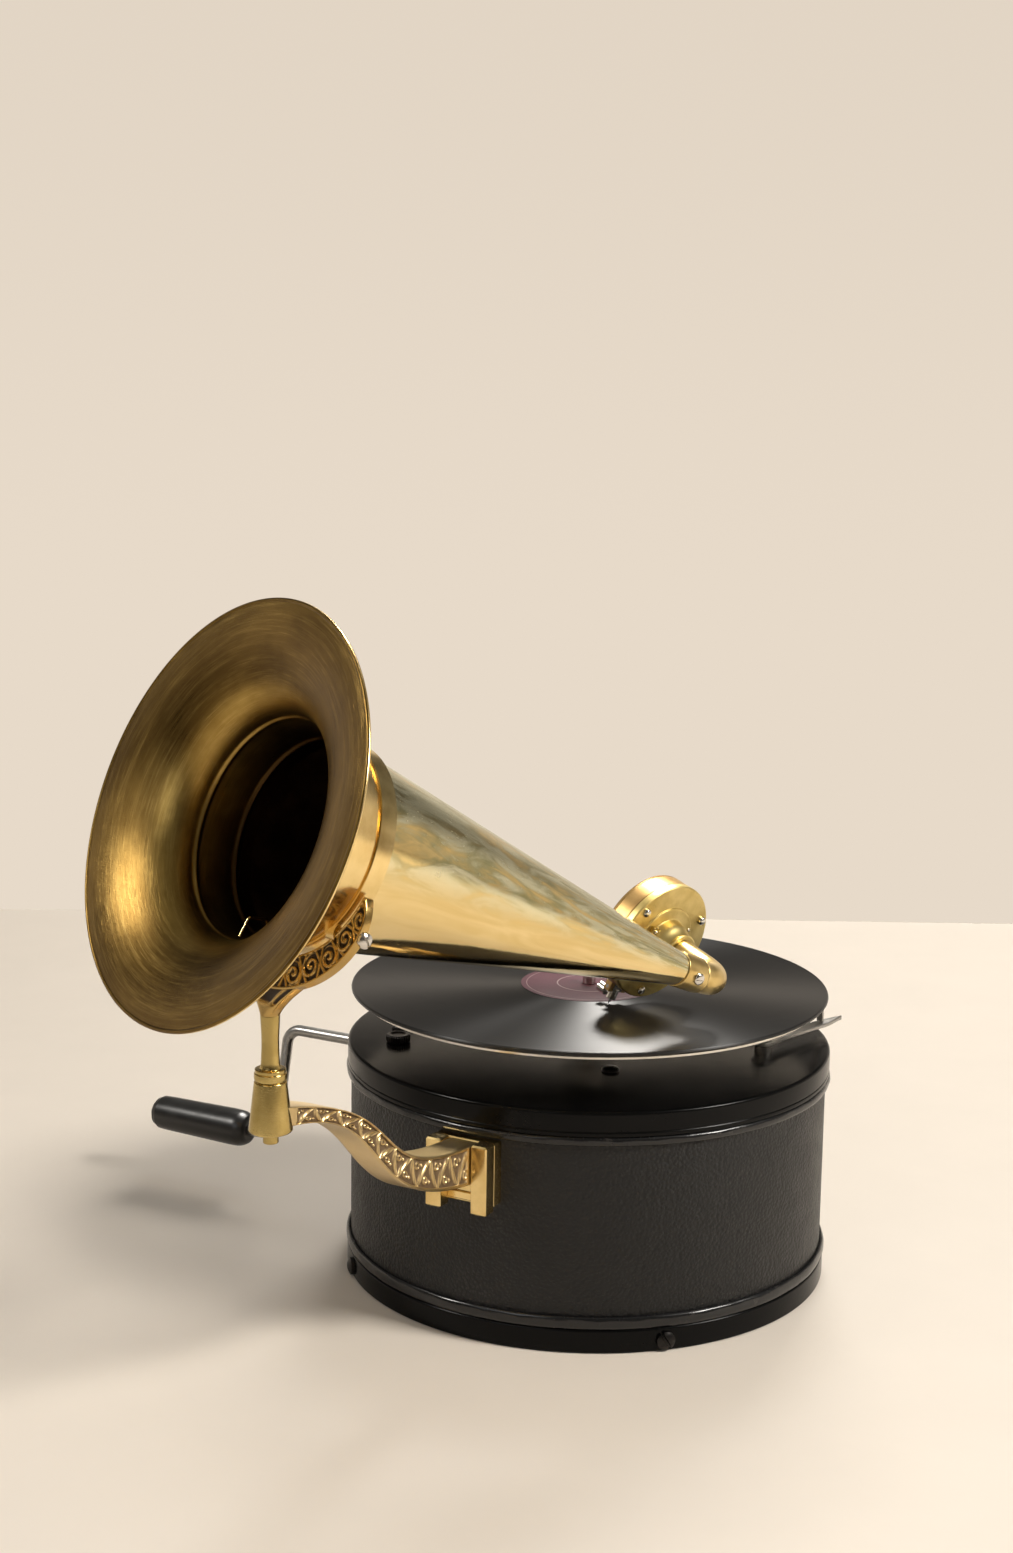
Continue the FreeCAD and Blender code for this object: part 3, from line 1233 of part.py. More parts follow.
def soundbox_screw_frames():
    """Frames of the soundbox screws, heads on the back."""
    radius = (DRUM_R + DRUM_IN_R) / 2
    angles = [radians(a) for a in around(SOUNDBOX_SCREW_COUNT, 90.0)]
    return [along(Vector(radius * cos(a), radius * sin(a), 0), UP * -1) for a in angles]


def make_soundbox_back():
    steps = [column(BACK_R, (0, 0), 0, BACK_T)]
    low = 0.0
    for radius, height in BOSS_STEPS:
        steps.append(column(radius, (0, 0), low - height, low + 0.5))
        low -= height
    whole = joined(steps).cut(column(NECK_R + RUN_GAP, (0, 0), low - 1, BACK_T + 1))
    whole = with_screw_holes(whole, soundbox_screw_frames(), SOUNDBOX_SCREW_R, SOUNDBOX_SCREW_L)
    return placed(whole, soundbox_place)


def make_soundbox_case():
    wall = ring(DRUM_R, DRUM_IN_R, BACK_T, drum_front)
    lip = ring(DRUM_R, LIP_R, drum_front - LIP_T, drum_front)
    inside = PIVOT_BLOCK_W / 2 + FREE_GAP
    low_y = trunnion_y - TRUNNION_R - 1.2
    depth = TRUNNION_R + 1.2
    cheeks = [box((low_x, low_y, trunnion_z - depth), (low_x + CHEEK_W, 1.5 - DRUM_R, trunnion_z + depth))
              for low_x in (-inside - CHEEK_W, inside)]
    bore = rod(TRUNNION_R + RUN_GAP, Vector(-DRUM_R, trunnion_y, trunnion_z), Vector(1, 0, 0), 2 * DRUM_R)
    whole = joined([wall, lip, *cheeks]).cut(bore)
    whole = with_screw_holes(whole, soundbox_screw_frames(), SOUNDBOX_SCREW_R, SOUNDBOX_SCREW_L)
    return placed(whole, soundbox_place)


def make_soundbox_screws():
    one = screw(SOUNDBOX_SCREW_R, SOUNDBOX_SCREW_L, SOUNDBOX_SCREW_HEAD_R, SOUNDBOX_SCREW_HEAD_H)
    return placed(group(placed(one, frame) for frame in soundbox_screw_frames()), soundbox_place)


diaphragm_z = (BACK_T + drum_front - LIP_T - DIAPHRAGM_T) / 2


def make_diaphragm():
    disc = column(DRUM_IN_R - SEAT_GAP, (0, 0), diaphragm_z, diaphragm_z + DIAPHRAGM_T)
    return placed(disc, soundbox_place)


def make_gaskets():
    thick = (diaphragm_z - BACK_T) / 2 - SEAT_GAP
    ring_r = DRUM_IN_R - thick - SEAT_GAP
    middles = (BACK_T + SEAT_GAP + thick, diaphragm_z + DIAPHRAGM_T + SEAT_GAP + thick)
    return placed(group(Part.makeTorus(ring_r, thick, Vector(0, 0, z)) for z in middles), soundbox_place)


def make_stylus_bar():
    half = PIVOT_BLOCK_W / 2
    deep = PIVOT_BLOCK_T / 2
    near_y = FREE_GAP + DRUM_R
    block = box((-half, trunnion_y - deep, trunnion_z - deep), (half, -near_y, trunnion_z + deep))
    pin_half = half + FREE_GAP + CHEEK_W
    trunnion = rod(TRUNNION_R, Vector(-pin_half, trunnion_y, trunnion_z), Vector(1, 0, 0), 2 * pin_half)
    bar_z = drum_front + FREE_GAP
    bar_half = STYLUS_BAR_W / 2
    bar = box((-bar_half, trunnion_y, bar_z), (bar_half, bar_half, bar_z + STYLUS_BAR_T))
    foot = column(STYLUS_FOOT_R, (0, 0), diaphragm_z + DIAPHRAGM_T + FREE_GAP, bar_z + STYLUS_BAR_T / 2)
    chuck = rod(CHUCK_R, Vector(0, trunnion_y - deep + 1, needle_z), Vector(0, -1, 0), CHUCK_L + 1)
    bore_at = Vector(0, trunnion_y - deep - 0.5, needle_z)
    bore = rod(NEEDLE_R + SEAT_GAP, bore_at, Vector(0, -1, 0), CHUCK_L + 2)
    thread = column(THUMB_SHANK_R + SEAT_GAP, (0, thumb_y()), needle_z, needle_z + CHUCK_R + 1)
    return placed(joined([block, trunnion, bar, foot, chuck]).cut(bore).cut(thread), soundbox_place)


def thumb_y():
    """Middle of the chuck along the needle."""
    return trunnion_y - PIVOT_BLOCK_T / 2 - CHUCK_L / 2


def make_needle():
    start = -trunnion_y + PIVOT_BLOCK_T / 2 + 0.5 + SEAT_GAP
    end = needle_length - start
    shape = spun((0, 0), (NEEDLE_R, 0), (NEEDLE_R, end - NEEDLE_TIP_L), (NEEDLE_R / 8, end), (0, end))
    return placed(placed(shape, along(Vector(0, -start, needle_z), Vector(0, -1, 0))), soundbox_place)


def make_needle_screw():
    low = needle_z + NEEDLE_R + SEAT_GAP
    shank = column(THUMB_SHANK_R, (0, thumb_y()), low, needle_z + CHUCK_R + THUMB_SHANK_L)
    knob_z = needle_z + CHUCK_R + THUMB_SHANK_L - 0.5
    knob = column(THUMB_R, (0, thumb_y()), knob_z, knob_z + THUMB_L)
    return placed(joined([shank, knob]), soundbox_place)


MAKERS = (
    make_base_plate, make_base_band, make_base_screws, make_case_wall, make_case_piping, make_lid,
    make_bracket_plate, make_bracket_bolts, make_horn_arm,
    make_motor_top_plate, make_motor_bottom_plate, make_motor_pillars, make_motor_bolts, make_spindle_bush,
    make_crank_bush, make_brake_post,
    make_spindle, make_governor_wheel, make_platter, make_turntable_mat, make_record, make_record_label,
    make_second_arbor, make_second_wheel,
    make_barrel_drum, make_great_wheel, make_barrel_cover, make_mainspring,
    make_barrel_arbor, make_winding_wheel, make_ratchet_wheel, make_click_pawl,
    make_crank_rod, make_winding_pinion, make_crank_handle,
    make_governor_shaft, make_governor_springs, make_governor_weights, make_governor_disc,
    make_speed_knob, make_regulator_arm, make_brake_lever, make_brake_pad,
    make_yoke, make_horn_bell, make_horn_collar, make_pivot_screws, make_horn_cone,
    make_horn_ferrule, make_elbow_screw, make_elbow,
    make_soundbox_back, make_soundbox_case, make_soundbox_screws, make_diaphragm, make_gaskets,
    make_stylus_bar, make_needle, make_needle_screw,
)

os.makedirs("parts", exist_ok=True)
for maker in MAKERS:
    node = maker.__name__.removeprefix("make_")
    shape = maker()
    solids = shape.Solids
    state = "valid" if shape.isValid() and solids and all(s.Volume > 0 for s in solids) else "BAD"
    print(node, len(solids), "solids", round(sum(s.Volume for s in solids), 1), "mm3", state)
    shape.exportStep("parts/" + node + ".step")
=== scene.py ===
# %% [markdown]
# # A front-horn gramophone, dressed piece by piece
# The imported model is a fixed skeleton of plain solids with working joints. This lesson puts a finer
# surface over every piece that shows, gives the rest a real finish, and leaves the skeleton where it
# is. The skeleton is loaded first, because each later piece takes its place and its motion from it,
# and the boxes of its solids give many sizes.

# %% Load the skeleton
import json
import math

import bmesh
import bpy
import numpy as np
from mathutils import Matrix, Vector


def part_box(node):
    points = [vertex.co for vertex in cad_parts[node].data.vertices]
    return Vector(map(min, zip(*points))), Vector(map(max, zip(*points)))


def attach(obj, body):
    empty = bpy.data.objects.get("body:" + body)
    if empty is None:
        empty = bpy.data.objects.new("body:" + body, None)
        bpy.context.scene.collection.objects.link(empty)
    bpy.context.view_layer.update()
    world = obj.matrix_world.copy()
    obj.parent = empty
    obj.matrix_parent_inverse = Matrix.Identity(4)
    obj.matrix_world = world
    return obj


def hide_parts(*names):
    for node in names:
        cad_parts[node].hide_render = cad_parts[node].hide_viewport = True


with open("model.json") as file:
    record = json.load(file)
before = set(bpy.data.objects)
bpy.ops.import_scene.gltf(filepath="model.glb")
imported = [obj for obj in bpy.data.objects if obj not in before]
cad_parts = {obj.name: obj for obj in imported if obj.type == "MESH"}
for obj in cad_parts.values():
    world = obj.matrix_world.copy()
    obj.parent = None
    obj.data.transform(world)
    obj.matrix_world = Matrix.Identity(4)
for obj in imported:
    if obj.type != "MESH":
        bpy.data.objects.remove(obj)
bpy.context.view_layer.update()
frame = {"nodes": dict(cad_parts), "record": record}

joints = {joint["name"]: joint for joint in frame["record"]["behaviour"]["joints"]}

# %% [markdown]
# Sizes are written in millimetres, as on a workshop drawing, and become metres only when a mesh is
# made. A local frame, four rows of three numbers, holds a piece's own directions and its origin, so
# that a bell can be drawn upright on paper and then leaned over with the horn. The joints of the
# skeleton already give the exact axes.

# %% Local frames
MM = 0.001
UP = np.array([0.0, 0.0, 1.0])


def seat(origin, out, across):
    """A local frame: the third axis points out, the first as near to across as a right angle allows."""
    out = np.asarray(out, float) / np.linalg.norm(out)
    side = np.asarray(across, float) - out * np.dot(across, out)
    side = side / np.linalg.norm(side)
    return np.stack([side, np.cross(out, side), out, np.asarray(origin, float)])


def put(points, where):
    """Local x, y and z times the frame's three axes, plus the frame's origin."""
    return points @ where[:3] + where[3]


def joint_spot(name):
    """Where a joint's axis passes, in millimetres."""
    return np.array(joints[name]["pos_m"]) / MM


def node_span(node):
    """Lowest and highest corner of a node, in millimetres."""
    low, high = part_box(node)
    return np.array(low) / MM, np.array(high) / MM


CASE = seat((0, 0, 0), UP, (1, 0, 0))
print("swivel at", joint_spot("horn_swing").round(1), "tilt axis at", joint_spot("horn_tilt").round(1))

# %% [markdown]
# A surface here is a grid of points worked out as whole arrays: one direction of the grid runs along
# the piece and the other runs round it. Four neighbours make a face. Where a direction closes on itself
# the last row joins the first, and where the grid has open ends a flat cap closes them, so every piece
# is watertight.

# %% Grids of faces
def grid_faces(rows, columns, ring):
    """Corner numbers of all faces: row, next column, next row, and back; ring closes the rows."""
    row, column = np.meshgrid(np.arange(rows if ring else rows - 1), np.arange(columns), indexing="ij")
    below, beside = (row + 1) % rows, (column + 1) % columns
    corners = [row * columns + column, row * columns + beside,
               below * columns + beside, below * columns + column]
    return np.stack(corners, -1).reshape(-1, 4)


def facing_out(points, faces):
    """Faces with their corners in the order that makes the enclosed volume positive."""
    corner = (points - points.mean(0))[faces]
    first = np.einsum("ij,ij->i", corner[:, 0], np.cross(corner[:, 1], corner[:, 2]))
    second = np.einsum("ij,ij->i", corner[:, 0], np.cross(corner[:, 2], corner[:, 3]))
    return faces if (first + second).sum() > 0 else faces[:, ::-1]


def grid(points, ring=True, lay=None, relief=None, skin=None):
    """One grid of a piece: points, whether rows close, and what the finish may read at each point."""
    rows, columns = points.shape[:2]
    return {"points": points, "ring": ring, "skin": np.zeros(rows, int) if skin is None else skin,
            "lay": np.zeros((rows, columns, 3)) if lay is None else lay,
            "relief": np.ones((rows, columns)) if relief is None else relief}


print("a 3 by 4 grid that closes has", len(grid_faces(3, 4, True)), "faces")

# %% [markdown]
# Every finished object sits at the origin with its place in its mesh, like a skeleton node. Two
# attributes travel with the points: lay says how the metal was worked, round and along, and relief says
# how high a point stands in an ornament. Points that meet at an axis are merged, and edges sharper than
# a set angle stay crisp.

# %% From grids to a piece
MERGE = 1e-6
CRISP = math.radians(38)


def piece(name, grids, finishes, body, stands_for=()):
    """Join grids into one mesh object, give it its finishes, and hang it on a body of the skeleton."""
    points, faces, skins, first = [], [], [], 0
    for part in grids:
        flat = part["points"].reshape(-1, 3)
        rows, columns = part["points"].shape[:2]
        drawn = grid_faces(rows, columns, part["ring"])
        made = facing_out(flat, drawn)
        faces += (made + first).tolist()
        skins.append(np.repeat(part["skin"][:len(made) // columns], columns))
        if not part["ring"]:
            caps = np.stack([np.arange(columns)[::-1], np.arange(columns) + (rows - 1) * columns]) + first
            faces += (caps if made is drawn else caps[:, ::-1]).tolist()
            skins.append(part["skin"][[0, -1]])
        points.append(flat)
        first += len(flat)
    mesh = bpy.data.meshes.new(name)
    mesh.from_pydata((np.concatenate(points) * MM).tolist(), [], faces)
    for label, kind, field in (("lay", "FLOAT_VECTOR", "vector"), ("relief", "FLOAT", "value")):
        values = np.concatenate([part[label].reshape(-1) for part in grids]).astype(np.float32)
        mesh.attributes.new(label, kind, "POINT").data.foreach_set(field, values)
    mesh.polygons.foreach_set("material_index", np.concatenate(skins).astype(np.int32))
    shape = bmesh.new()
    shape.from_mesh(mesh)
    bmesh.ops.remove_doubles(shape, verts=shape.verts, dist=MERGE)
    loose = [edge for edge in shape.edges if not edge.link_faces]
    bmesh.ops.delete(shape, geom=loose, context="EDGES")
    shape.to_mesh(mesh)
    shape.free()
    mesh.shade_smooth()
    mesh.set_sharp_from_angle(angle=CRISP)
    for finish in finishes:
        mesh.materials.append(finish)
    thing = bpy.data.objects.new(name, mesh)
    bpy.context.collection.objects.link(thing)
    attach(thing, body)
    if stands_for:
        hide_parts(*stands_for)
    print(name, len(mesh.polygons), "faces on", body)


print("edges sharper than", round(math.degrees(CRISP)), "degrees stay crisp")

# %% [markdown]
# Most of this machine was turned on a lathe, so most pieces are a profile of radius and height carried
# round an axis. Real edges are never razor sharp: a profile is listed by its corners, each with the
# length that its rounding takes off, and one formula bends all corners at once. Flat pieces are
# outlines raised into slabs.

# %% Profiles, turning and slabs
def rounded(corners, steps=5):
    """Each corner becomes a parabola between two points that lie the corner's third number away from it."""
    corners = np.asarray(corners, float)
    spot, cut = corners[:, :-1], corners[:, -1:]
    back, ahead = np.roll(spot, 1, 0) - spot, np.roll(spot, -1, 0) - spot
    start = spot + back / np.linalg.norm(back, axis=1, keepdims=True) * cut
    end = spot + ahead / np.linalg.norm(ahead, axis=1, keepdims=True) * cut
    w = np.linspace(0, 1, steps + 1)[None, :, None]
    bent = (1 - w) ** 2 * start[:, None] + 2 * w * (1 - w) * spot[:, None] + w ** 2 * end[:, None]
    return bent.reshape(-1, spot.shape[1])


def turned(profile, where, steps=144, wobble=None, skin=None):
    """x = r cos a, y = r sin a, z = h for every profile point and angle; wobble is added to r."""
    angle = np.linspace(0, 2 * np.pi, steps, endpoint=False)[None]
    radius, height = profile[:, :1], profile[:, 1:2]
    reach = radius + (wobble(angle, height, radius) if wobble else 0 * angle)
    points = np.stack([reach * np.cos(angle), reach * np.sin(angle), height + 0 * angle], -1)
    run = np.concatenate([[0], np.cumsum(np.linalg.norm(np.diff(profile, axis=0), axis=1))])[:, None]
    lay = np.stack([np.cos(angle) + 0 * run, np.sin(angle) + 0 * run, run * MM + 0 * angle], -1)
    return grid(put(points, where), lay=lay, skin=skin)


def slab(outline, low, high, where, bevel=0.5):
    """A flat outline raised from low to high, drawn in by the bevel at both faces."""
    outline = np.asarray(outline, float)
    ahead = np.roll(outline, -1, 0) - np.roll(outline, 1, 0)
    inward = np.stack([-ahead[:, 1], ahead[:, 0]], -1) / np.linalg.norm(ahead, axis=1, keepdims=True)
    levels = [(bevel, low), (0, low + bevel), (0, high - bevel), (bevel, high)]
    loops = [np.column_stack([outline + inward * inset, np.full(len(outline), z)]) for inset, z in levels]
    return grid(put(np.stack(loops), where), ring=False)


def block(low, high, where, corner=0.8, bevel=0.5):
    """A box between two corners with rounded uprights, its outline anticlockwise."""
    (x0, y0, z0), (x1, y1, z1) = low, high
    outline = rounded([(x0, y0, corner), (x1, y0, corner), (x1, y1, corner), (x0, y1, corner)])
    return slab(outline, z0, z1, where, bevel)


print("a corner is bent in", len(rounded([(0, 0, 1), (9, 0, 1), (9, 9, 1)])) // 3 - 1, "steps")

# %% [markdown]
# A finish is a small program of shader nodes. Written as plain Python sums it can be read at a glance,
# so one class wraps a socket and lets numbers and sockets be added, multiplied and compared. Its node
# method makes every other kind of node: settings first, then the values or links of the sockets.

# %% Shader arithmetic
class Wire:
    """A shader socket that takes part in sums: each operator adds one Math node and wraps its result."""

    def __init__(self, tree, socket=None):
        self.tree = tree
        self.socket = socket

    def node(self, kind, settings=None, sockets=None, out=0):
        """Add any node: set its settings, give its sockets values or links, return one of its outputs."""
        made = self.tree.nodes.new(kind)
        for key, value in (settings or {}).items():
            setattr(made, key, value)
        for key, value in (sockets or {}).items():
            plug(self.tree, made.inputs[key], value)
        return Wire(self.tree, made.outputs[out] if len(made.outputs) else None)

    def maths(self, operation, *values):
        """One Math node whose first input is this socket."""
        return self.node("ShaderNodeMath", {"operation": operation}, dict(enumerate((self, *values))))

    def __add__(self, other):
        return self.maths("ADD", other)

    def __mul__(self, other):
        return self.maths("MULTIPLY", other)

    def __sub__(self, other):
        return self.maths("SUBTRACT", other)

    def __rsub__(self, other):
        return self.node("ShaderNodeMath", {"operation": "SUBTRACT"}, {0: other, 1: self})

    def __truediv__(self, other):
        return self.maths("DIVIDE", other)

    __radd__ = __add__
    __rmul__ = __mul__


def plug(tree, socket, value):
    """Link a wrapped socket, or set a plain value."""
    if isinstance(value, Wire):
        tree.links.new(value.socket, socket)
    else:
        socket.default_value = value


def new_finish(name):
    """An empty material and the wire that its nodes start from."""
    material = bpy.data.materials.new(name)
    material.use_nodes = True
    return material, Wire(material.node_tree)


def dress(material, sockets):
    """Give the material's own shader its values and links."""
    shader = material.node_tree.nodes["Principled BSDF"]
    for key, value in sockets.items():
        plug(material.node_tree, shader.inputs[key], value)
    return material


print("shader arithmetic ready")

# %% [markdown]
# Four small words cover most finishes: a spot on the object, a grain that varies over it, a step that
# turns a grain into a mask, and a mix of two colours. Worked metal reads its lay instead of its place:
# squeezing the grain along the profile and stretching it round the axis draws the fine rings that a
# spinning tool leaves.

# %% Words for finishes
def place_of(start):
    """The point on the object, in metres."""
    return start.node("ShaderNodeTexCoord", out="Object")


def stretched(vector, x, y, z):
    """A vector times three numbers."""
    return vector.node("ShaderNodeVectorMath", {"operation": "MULTIPLY"}, {0: vector, 1: (x, y, z)})


def lay_of(start):
    """How the piece was worked: cosine and sine round it, and metres along it."""
    return start.node("ShaderNodeAttribute", {"attribute_name": "lay"}, out="Vector")


def relief_of(start):
    """Height in the ornament, from 0 in the ground to 1 on the crests."""
    return start.node("ShaderNodeAttribute", {"attribute_name": "relief"}, out="Fac")


def part_of(vector, axis):
    """One number of a vector."""
    return vector.node("ShaderNodeSeparateXYZ", sockets={0: vector}, out=axis)


def grain(at, scale, detail=3.0, rough=0.55, warp=0.0):
    """Cloudy noise from 0 to 1."""
    return at.node("ShaderNodeTexNoise", sockets={"Vector": at, "Scale": scale, "Detail": detail,
                                                  "Roughness": rough, "Distortion": warp})


def step(value, low, high):
    """0 below low, 1 above high, smooth between."""
    return value.node("ShaderNodeMapRange", {"interpolation_type": "SMOOTHSTEP"},
                      {"Value": value, "From Min": low, "From Max": high})


def shade(factor, first, second):
    """The first colour where the factor is 0, the second where it is 1."""
    return factor.node("ShaderNodeMix", {"data_type": "RGBA"}, {0: factor, 6: first, 7: second}, out=2)


def colour(red, green, blue):
    """A colour socket's four numbers."""
    return (red, green, blue, 1.0)


def bumped(height, depth, strength=1.0):
    """A normal tilted by the slope of a height, which is depth metres tall."""
    return height.node("ShaderNodeBump", sockets={"Height": height, "Distance": depth, "Strength": strength},
                       out="Normal")


def radius_of(at):
    """Distance from the upright axis through the origin."""
    flat = stretched(at, 1, 1, 0)
    return flat.node("ShaderNodeVectorMath", {"operation": "LENGTH"}, {0: flat}, out="Value")


print("words for finishes ready")

# %% [markdown]
# The case is a round wooden drum covered in black pebbled cloth. The pebbles are small cells with soft
# creases, so a cell pattern gives the height, a slower grain wears their tops a little paler, and the
# creases stay dull. Lid and base wear the same cloth under a coat of gloss. The cords that edge them
# are lacquered black, with slight waves from the brush.

# %% Case finishes
def covered_cloth(name, black, worn, polish, depth, shine):
    """Pebbled cloth over wood: cells with soft creases, tops worn paler in patches."""
    material, start = new_finish(name)
    at = place_of(start)
    cells = start.node("ShaderNodeTexVoronoi", {"feature": "SMOOTH_F1"},
                       {"Vector": at, "Scale": 540.0, "Smoothness": 0.35, "Randomness": 0.95}, out="Distance")
    creases = grain(at, 1300.0, 3.0)
    height = (1 - cells) * 0.7 + creases * 0.5 + 0.3 * grain(at, 120.0, 2.0)
    rubbed = step(grain(at, 26.0, 4.0), 0.48, 0.78) * step(cells, 0.5, 0.15)
    tone = shade(rubbed, colour(black, black, black), colour(*worn))
    return dress(material, {"Base Color": tone, "Specular IOR Level": shine,
                            "Roughness": polish * (1 + 0.8 * grain(at, 90.0)),
                            "Normal": bumped(height, depth, 0.9)})


def black_lacquer():
    """Brushed lacquer: slow waves, dull dust, rubbed patches, and wrinkles from the cloth below."""
    material, start = new_finish("black_lacquer")
    at = place_of(start)
    waves = grain(at, 55.0, 2.0)
    wrinkles = grain(at, 420.0, 3.0)
    dust = step(grain(at, 900.0, 2.0), 0.62, 0.75)
    rubbed = step(grain(at, 140.0, 4.0), 0.60, 0.72)
    black = shade(rubbed, colour(0.007, 0.007, 0.0075), colour(0.028, 0.025, 0.023))
    return dress(material, {"Base Color": black, "Roughness": 0.13 + 0.16 * waves + 0.16 * dust,
                            "Normal": bumped(waves + 0.25 * wrinkles, 0.0005, 0.6)})


cloth = covered_cloth("pebbled_cloth", 0.0055, (0.024, 0.0215, 0.0195), 0.30, 0.00080, 0.40)
glossed = covered_cloth("glossed_cloth", 0.0028, (0.0042, 0.0040, 0.0038), 0.15, 0.00003, 0.12)
lacquer = black_lacquer()
print("case finishes:", cloth.name, glossed.name, lacquer.name)

# %% [markdown]
# The wall of the drum is one sheet of cloth drawn round and lapped at the back, where it stands out by
# the thickness of the cloth. The lid is a shallow cap with a soft edge and a stitched-down hem, which
# shows as a fine groove round its side. Both are profiles turned about the case's axis, with a little
# waver so that highlights move.

# %% Case wall and lid
CLOTH_T = 0.35
LAP_AT = math.radians(97)
LAP_W = math.radians(2.2)
wall_low, wall_high = node_span("case_wall")
lid_low, lid_high = node_span("lid")
wall_r = wall_high[0]
lid_r = lid_high[0]
WALL_T = 5.0
LID_T = 6.0
LID_SKIRT_T = 7.0
LID_HOLE_R = 7.6
HEM_UP = 2.6
WAVER_FROM_R = 20.0


def hand_waver(depth):
    """Long and short waves round the axis, never above zero, so that the piece stays inside its size."""
    def wave(angle, height, radius):
        waves = np.sin(3 * angle + 0.7) + np.sin(11 * angle + 0.06 * height) * 0.5 - 1.5
        return depth * waves * (radius > WAVER_FROM_R)
    return wave


def lapped(angle, height, radius):
    """The wall's waver, drawn in except over the lap, where the second layer of cloth lies."""
    lap = (1 - np.tanh((np.abs(angle - LAP_AT) - LAP_W) * 450)) / 2
    outside = radius > wall_r - 1
    return outside * (CLOTH_T * (lap - 1) + hand_waver(0.05)(angle, height, radius))


wall_profile = rounded([(wall_r - WALL_T, wall_low[2], 0.4), (wall_r, wall_low[2], 0.4),
                        (wall_r, wall_high[2], 0.4), (wall_r - WALL_T, wall_high[2], 0.4)])
piece("case_cover", [turned(wall_profile, CASE, 288, lapped)], [cloth], "case", ["case_wall"])
hem = lid_low[2] + HEM_UP
lid_profile = rounded([
    (LID_HOLE_R, lid_high[2], 0.3), (lid_r, lid_high[2], 2.0), (lid_r, hem + 0.5, 0.25),
    (lid_r - 0.45, hem, 0.25), (lid_r, hem - 0.5, 0.25), (lid_r, lid_low[2], 1.0),
    (lid_r - LID_SKIRT_T, lid_low[2], 0.5), (lid_r - LID_SKIRT_T, lid_high[2] - LID_T, 0.5),
    (LID_HOLE_R, lid_high[2] - LID_T, 0.3)])
piece("lid_cap", [turned(lid_profile, CASE, 288, hand_waver(0.05))], [glossed], "case", ["lid"])

# %% [markdown]
# Two cords covered in shiny cloth hide the joins of wall, lid and base: they are half-round beads that
# were pulled on by hand, so their thickness comes and goes. The base band is a plain hoop with eased
# edges, in the lid's finish.

# %% Pipings and base band
piping_low, piping_high = node_span("case_piping")
band_high = node_span("base_band")[1]
BAND_T = 7.0
LOWER_PIPING_H = 6.5
UPPER_PIPING_H = 4.5


def pulled_cord(angle, height, radius):
    """Uneven thickness: three waves that don't repeat together, on the outer half of the bead only."""
    pulls = np.sin(7 * angle) + np.sin(19 * angle + 1.3) + np.sin(43 * angle + height) * 0.6
    return np.clip(radius - wall_r - 0.3, 0, None) * (0.07 * pulls - 0.18)


def bead_profile(low, high):
    """Half an ellipse from the wall to the piping's full reach, closed behind by a straight line."""
    turn_by = np.linspace(-np.pi / 2, np.pi / 2, 15)
    bulge = piping_high[0] - wall_r - 0.12
    middle, half = (low + high) / 2, (high - low) / 2
    return np.column_stack([wall_r + 0.12 + bulge * np.cos(turn_by) ** 0.7, middle + half * np.sin(turn_by)])


bead_spans = ((piping_low[2], piping_low[2] + LOWER_PIPING_H),
              (piping_high[2] - UPPER_PIPING_H, piping_high[2]))
beads = [turned(bead_profile(*span), CASE, 320, pulled_cord) for span in bead_spans]
piece("case_cords", beads, [lacquer], "case", ["case_piping"])
band_r = band_high[0]
band_profile = rounded([(band_r - BAND_T, 0, 0.5), (band_r, 0, 0.9), (band_r, band_high[2], 1.4),
                        (band_r - BAND_T, band_high[2], 0.5)])
piece("base_hoop", [turned(band_profile, CASE, 288, hand_waver(0.04))], [glossed], "case",
      ["base_band"])

# %% [markdown]
# Shellac is pressed hot and comes out black and hard, but its grooves brush the light: a highlight
# stays narrow along them and spreads wide across them, so a lamp behind the disc draws a fan. The label
# is dyed paper, dull beside it, with two plain printed rings.

# %% Record finishes
LABEL_RING_R = 17.0
LABEL_EDGE_RING_R = 33.5


def pressed_shellac():
    """Black with fine rings; the sheen is turned a quarter, so that it spreads across the grooves."""
    material, start = new_finish("pressed_shellac")
    at = place_of(start)
    out = radius_of(at)
    rings = grain(start.node("ShaderNodeCombineXYZ", sockets={0: out * 2600.0}), 1.0, 4.0, 0.7)
    smudges = step(grain(at, 38.0, 4.0), 0.5, 0.8)
    black = shade(rings, colour(0.0028, 0.0028, 0.0031), colour(0.0075, 0.0072, 0.0070))
    return dress(material, {"Base Color": black, "Roughness": 0.40 + 0.08 * rings + 0.04 * smudges,
                            "Anisotropic": 0.92, "Anisotropic Rotation": 0.25,
                            "Specular IOR Level": 0.60, "Normal": bumped(rings, 0.00002, 0.6)})


def label_paper():
    """Faded paper with fibres, and two rings printed in a pale ink that the fibres break up."""
    material, start = new_finish("label_paper")
    at = place_of(start)
    out = radius_of(at) / MM
    fibres = grain(at, 900.0, 4.0)
    faded = grain(at, 45.0, 3.0)
    rings = step(0.45 - (out - LABEL_RING_R).maths("ABSOLUTE"), 0.0, 0.2)
    rings = rings + step(0.25 - (out - LABEL_EDGE_RING_R).maths("ABSOLUTE"), 0.0, 0.15)
    paper = shade(0.35 * fibres + 0.65 * faded, colour(0.125, 0.038, 0.056), colour(0.195, 0.070, 0.095))
    printed = shade(rings * (0.55 + 0.4 * fibres), paper, colour(0.55, 0.40, 0.40))
    return dress(material, {"Base Color": printed, "Roughness": 0.42 + 0.25 * fibres,
                            "Specular IOR Level": 0.15, "Normal": bumped(fibres, 0.00005, 0.5)})


shellac = pressed_shellac()
paper = label_paper()
print("record finishes:", shellac.name, paper.name)

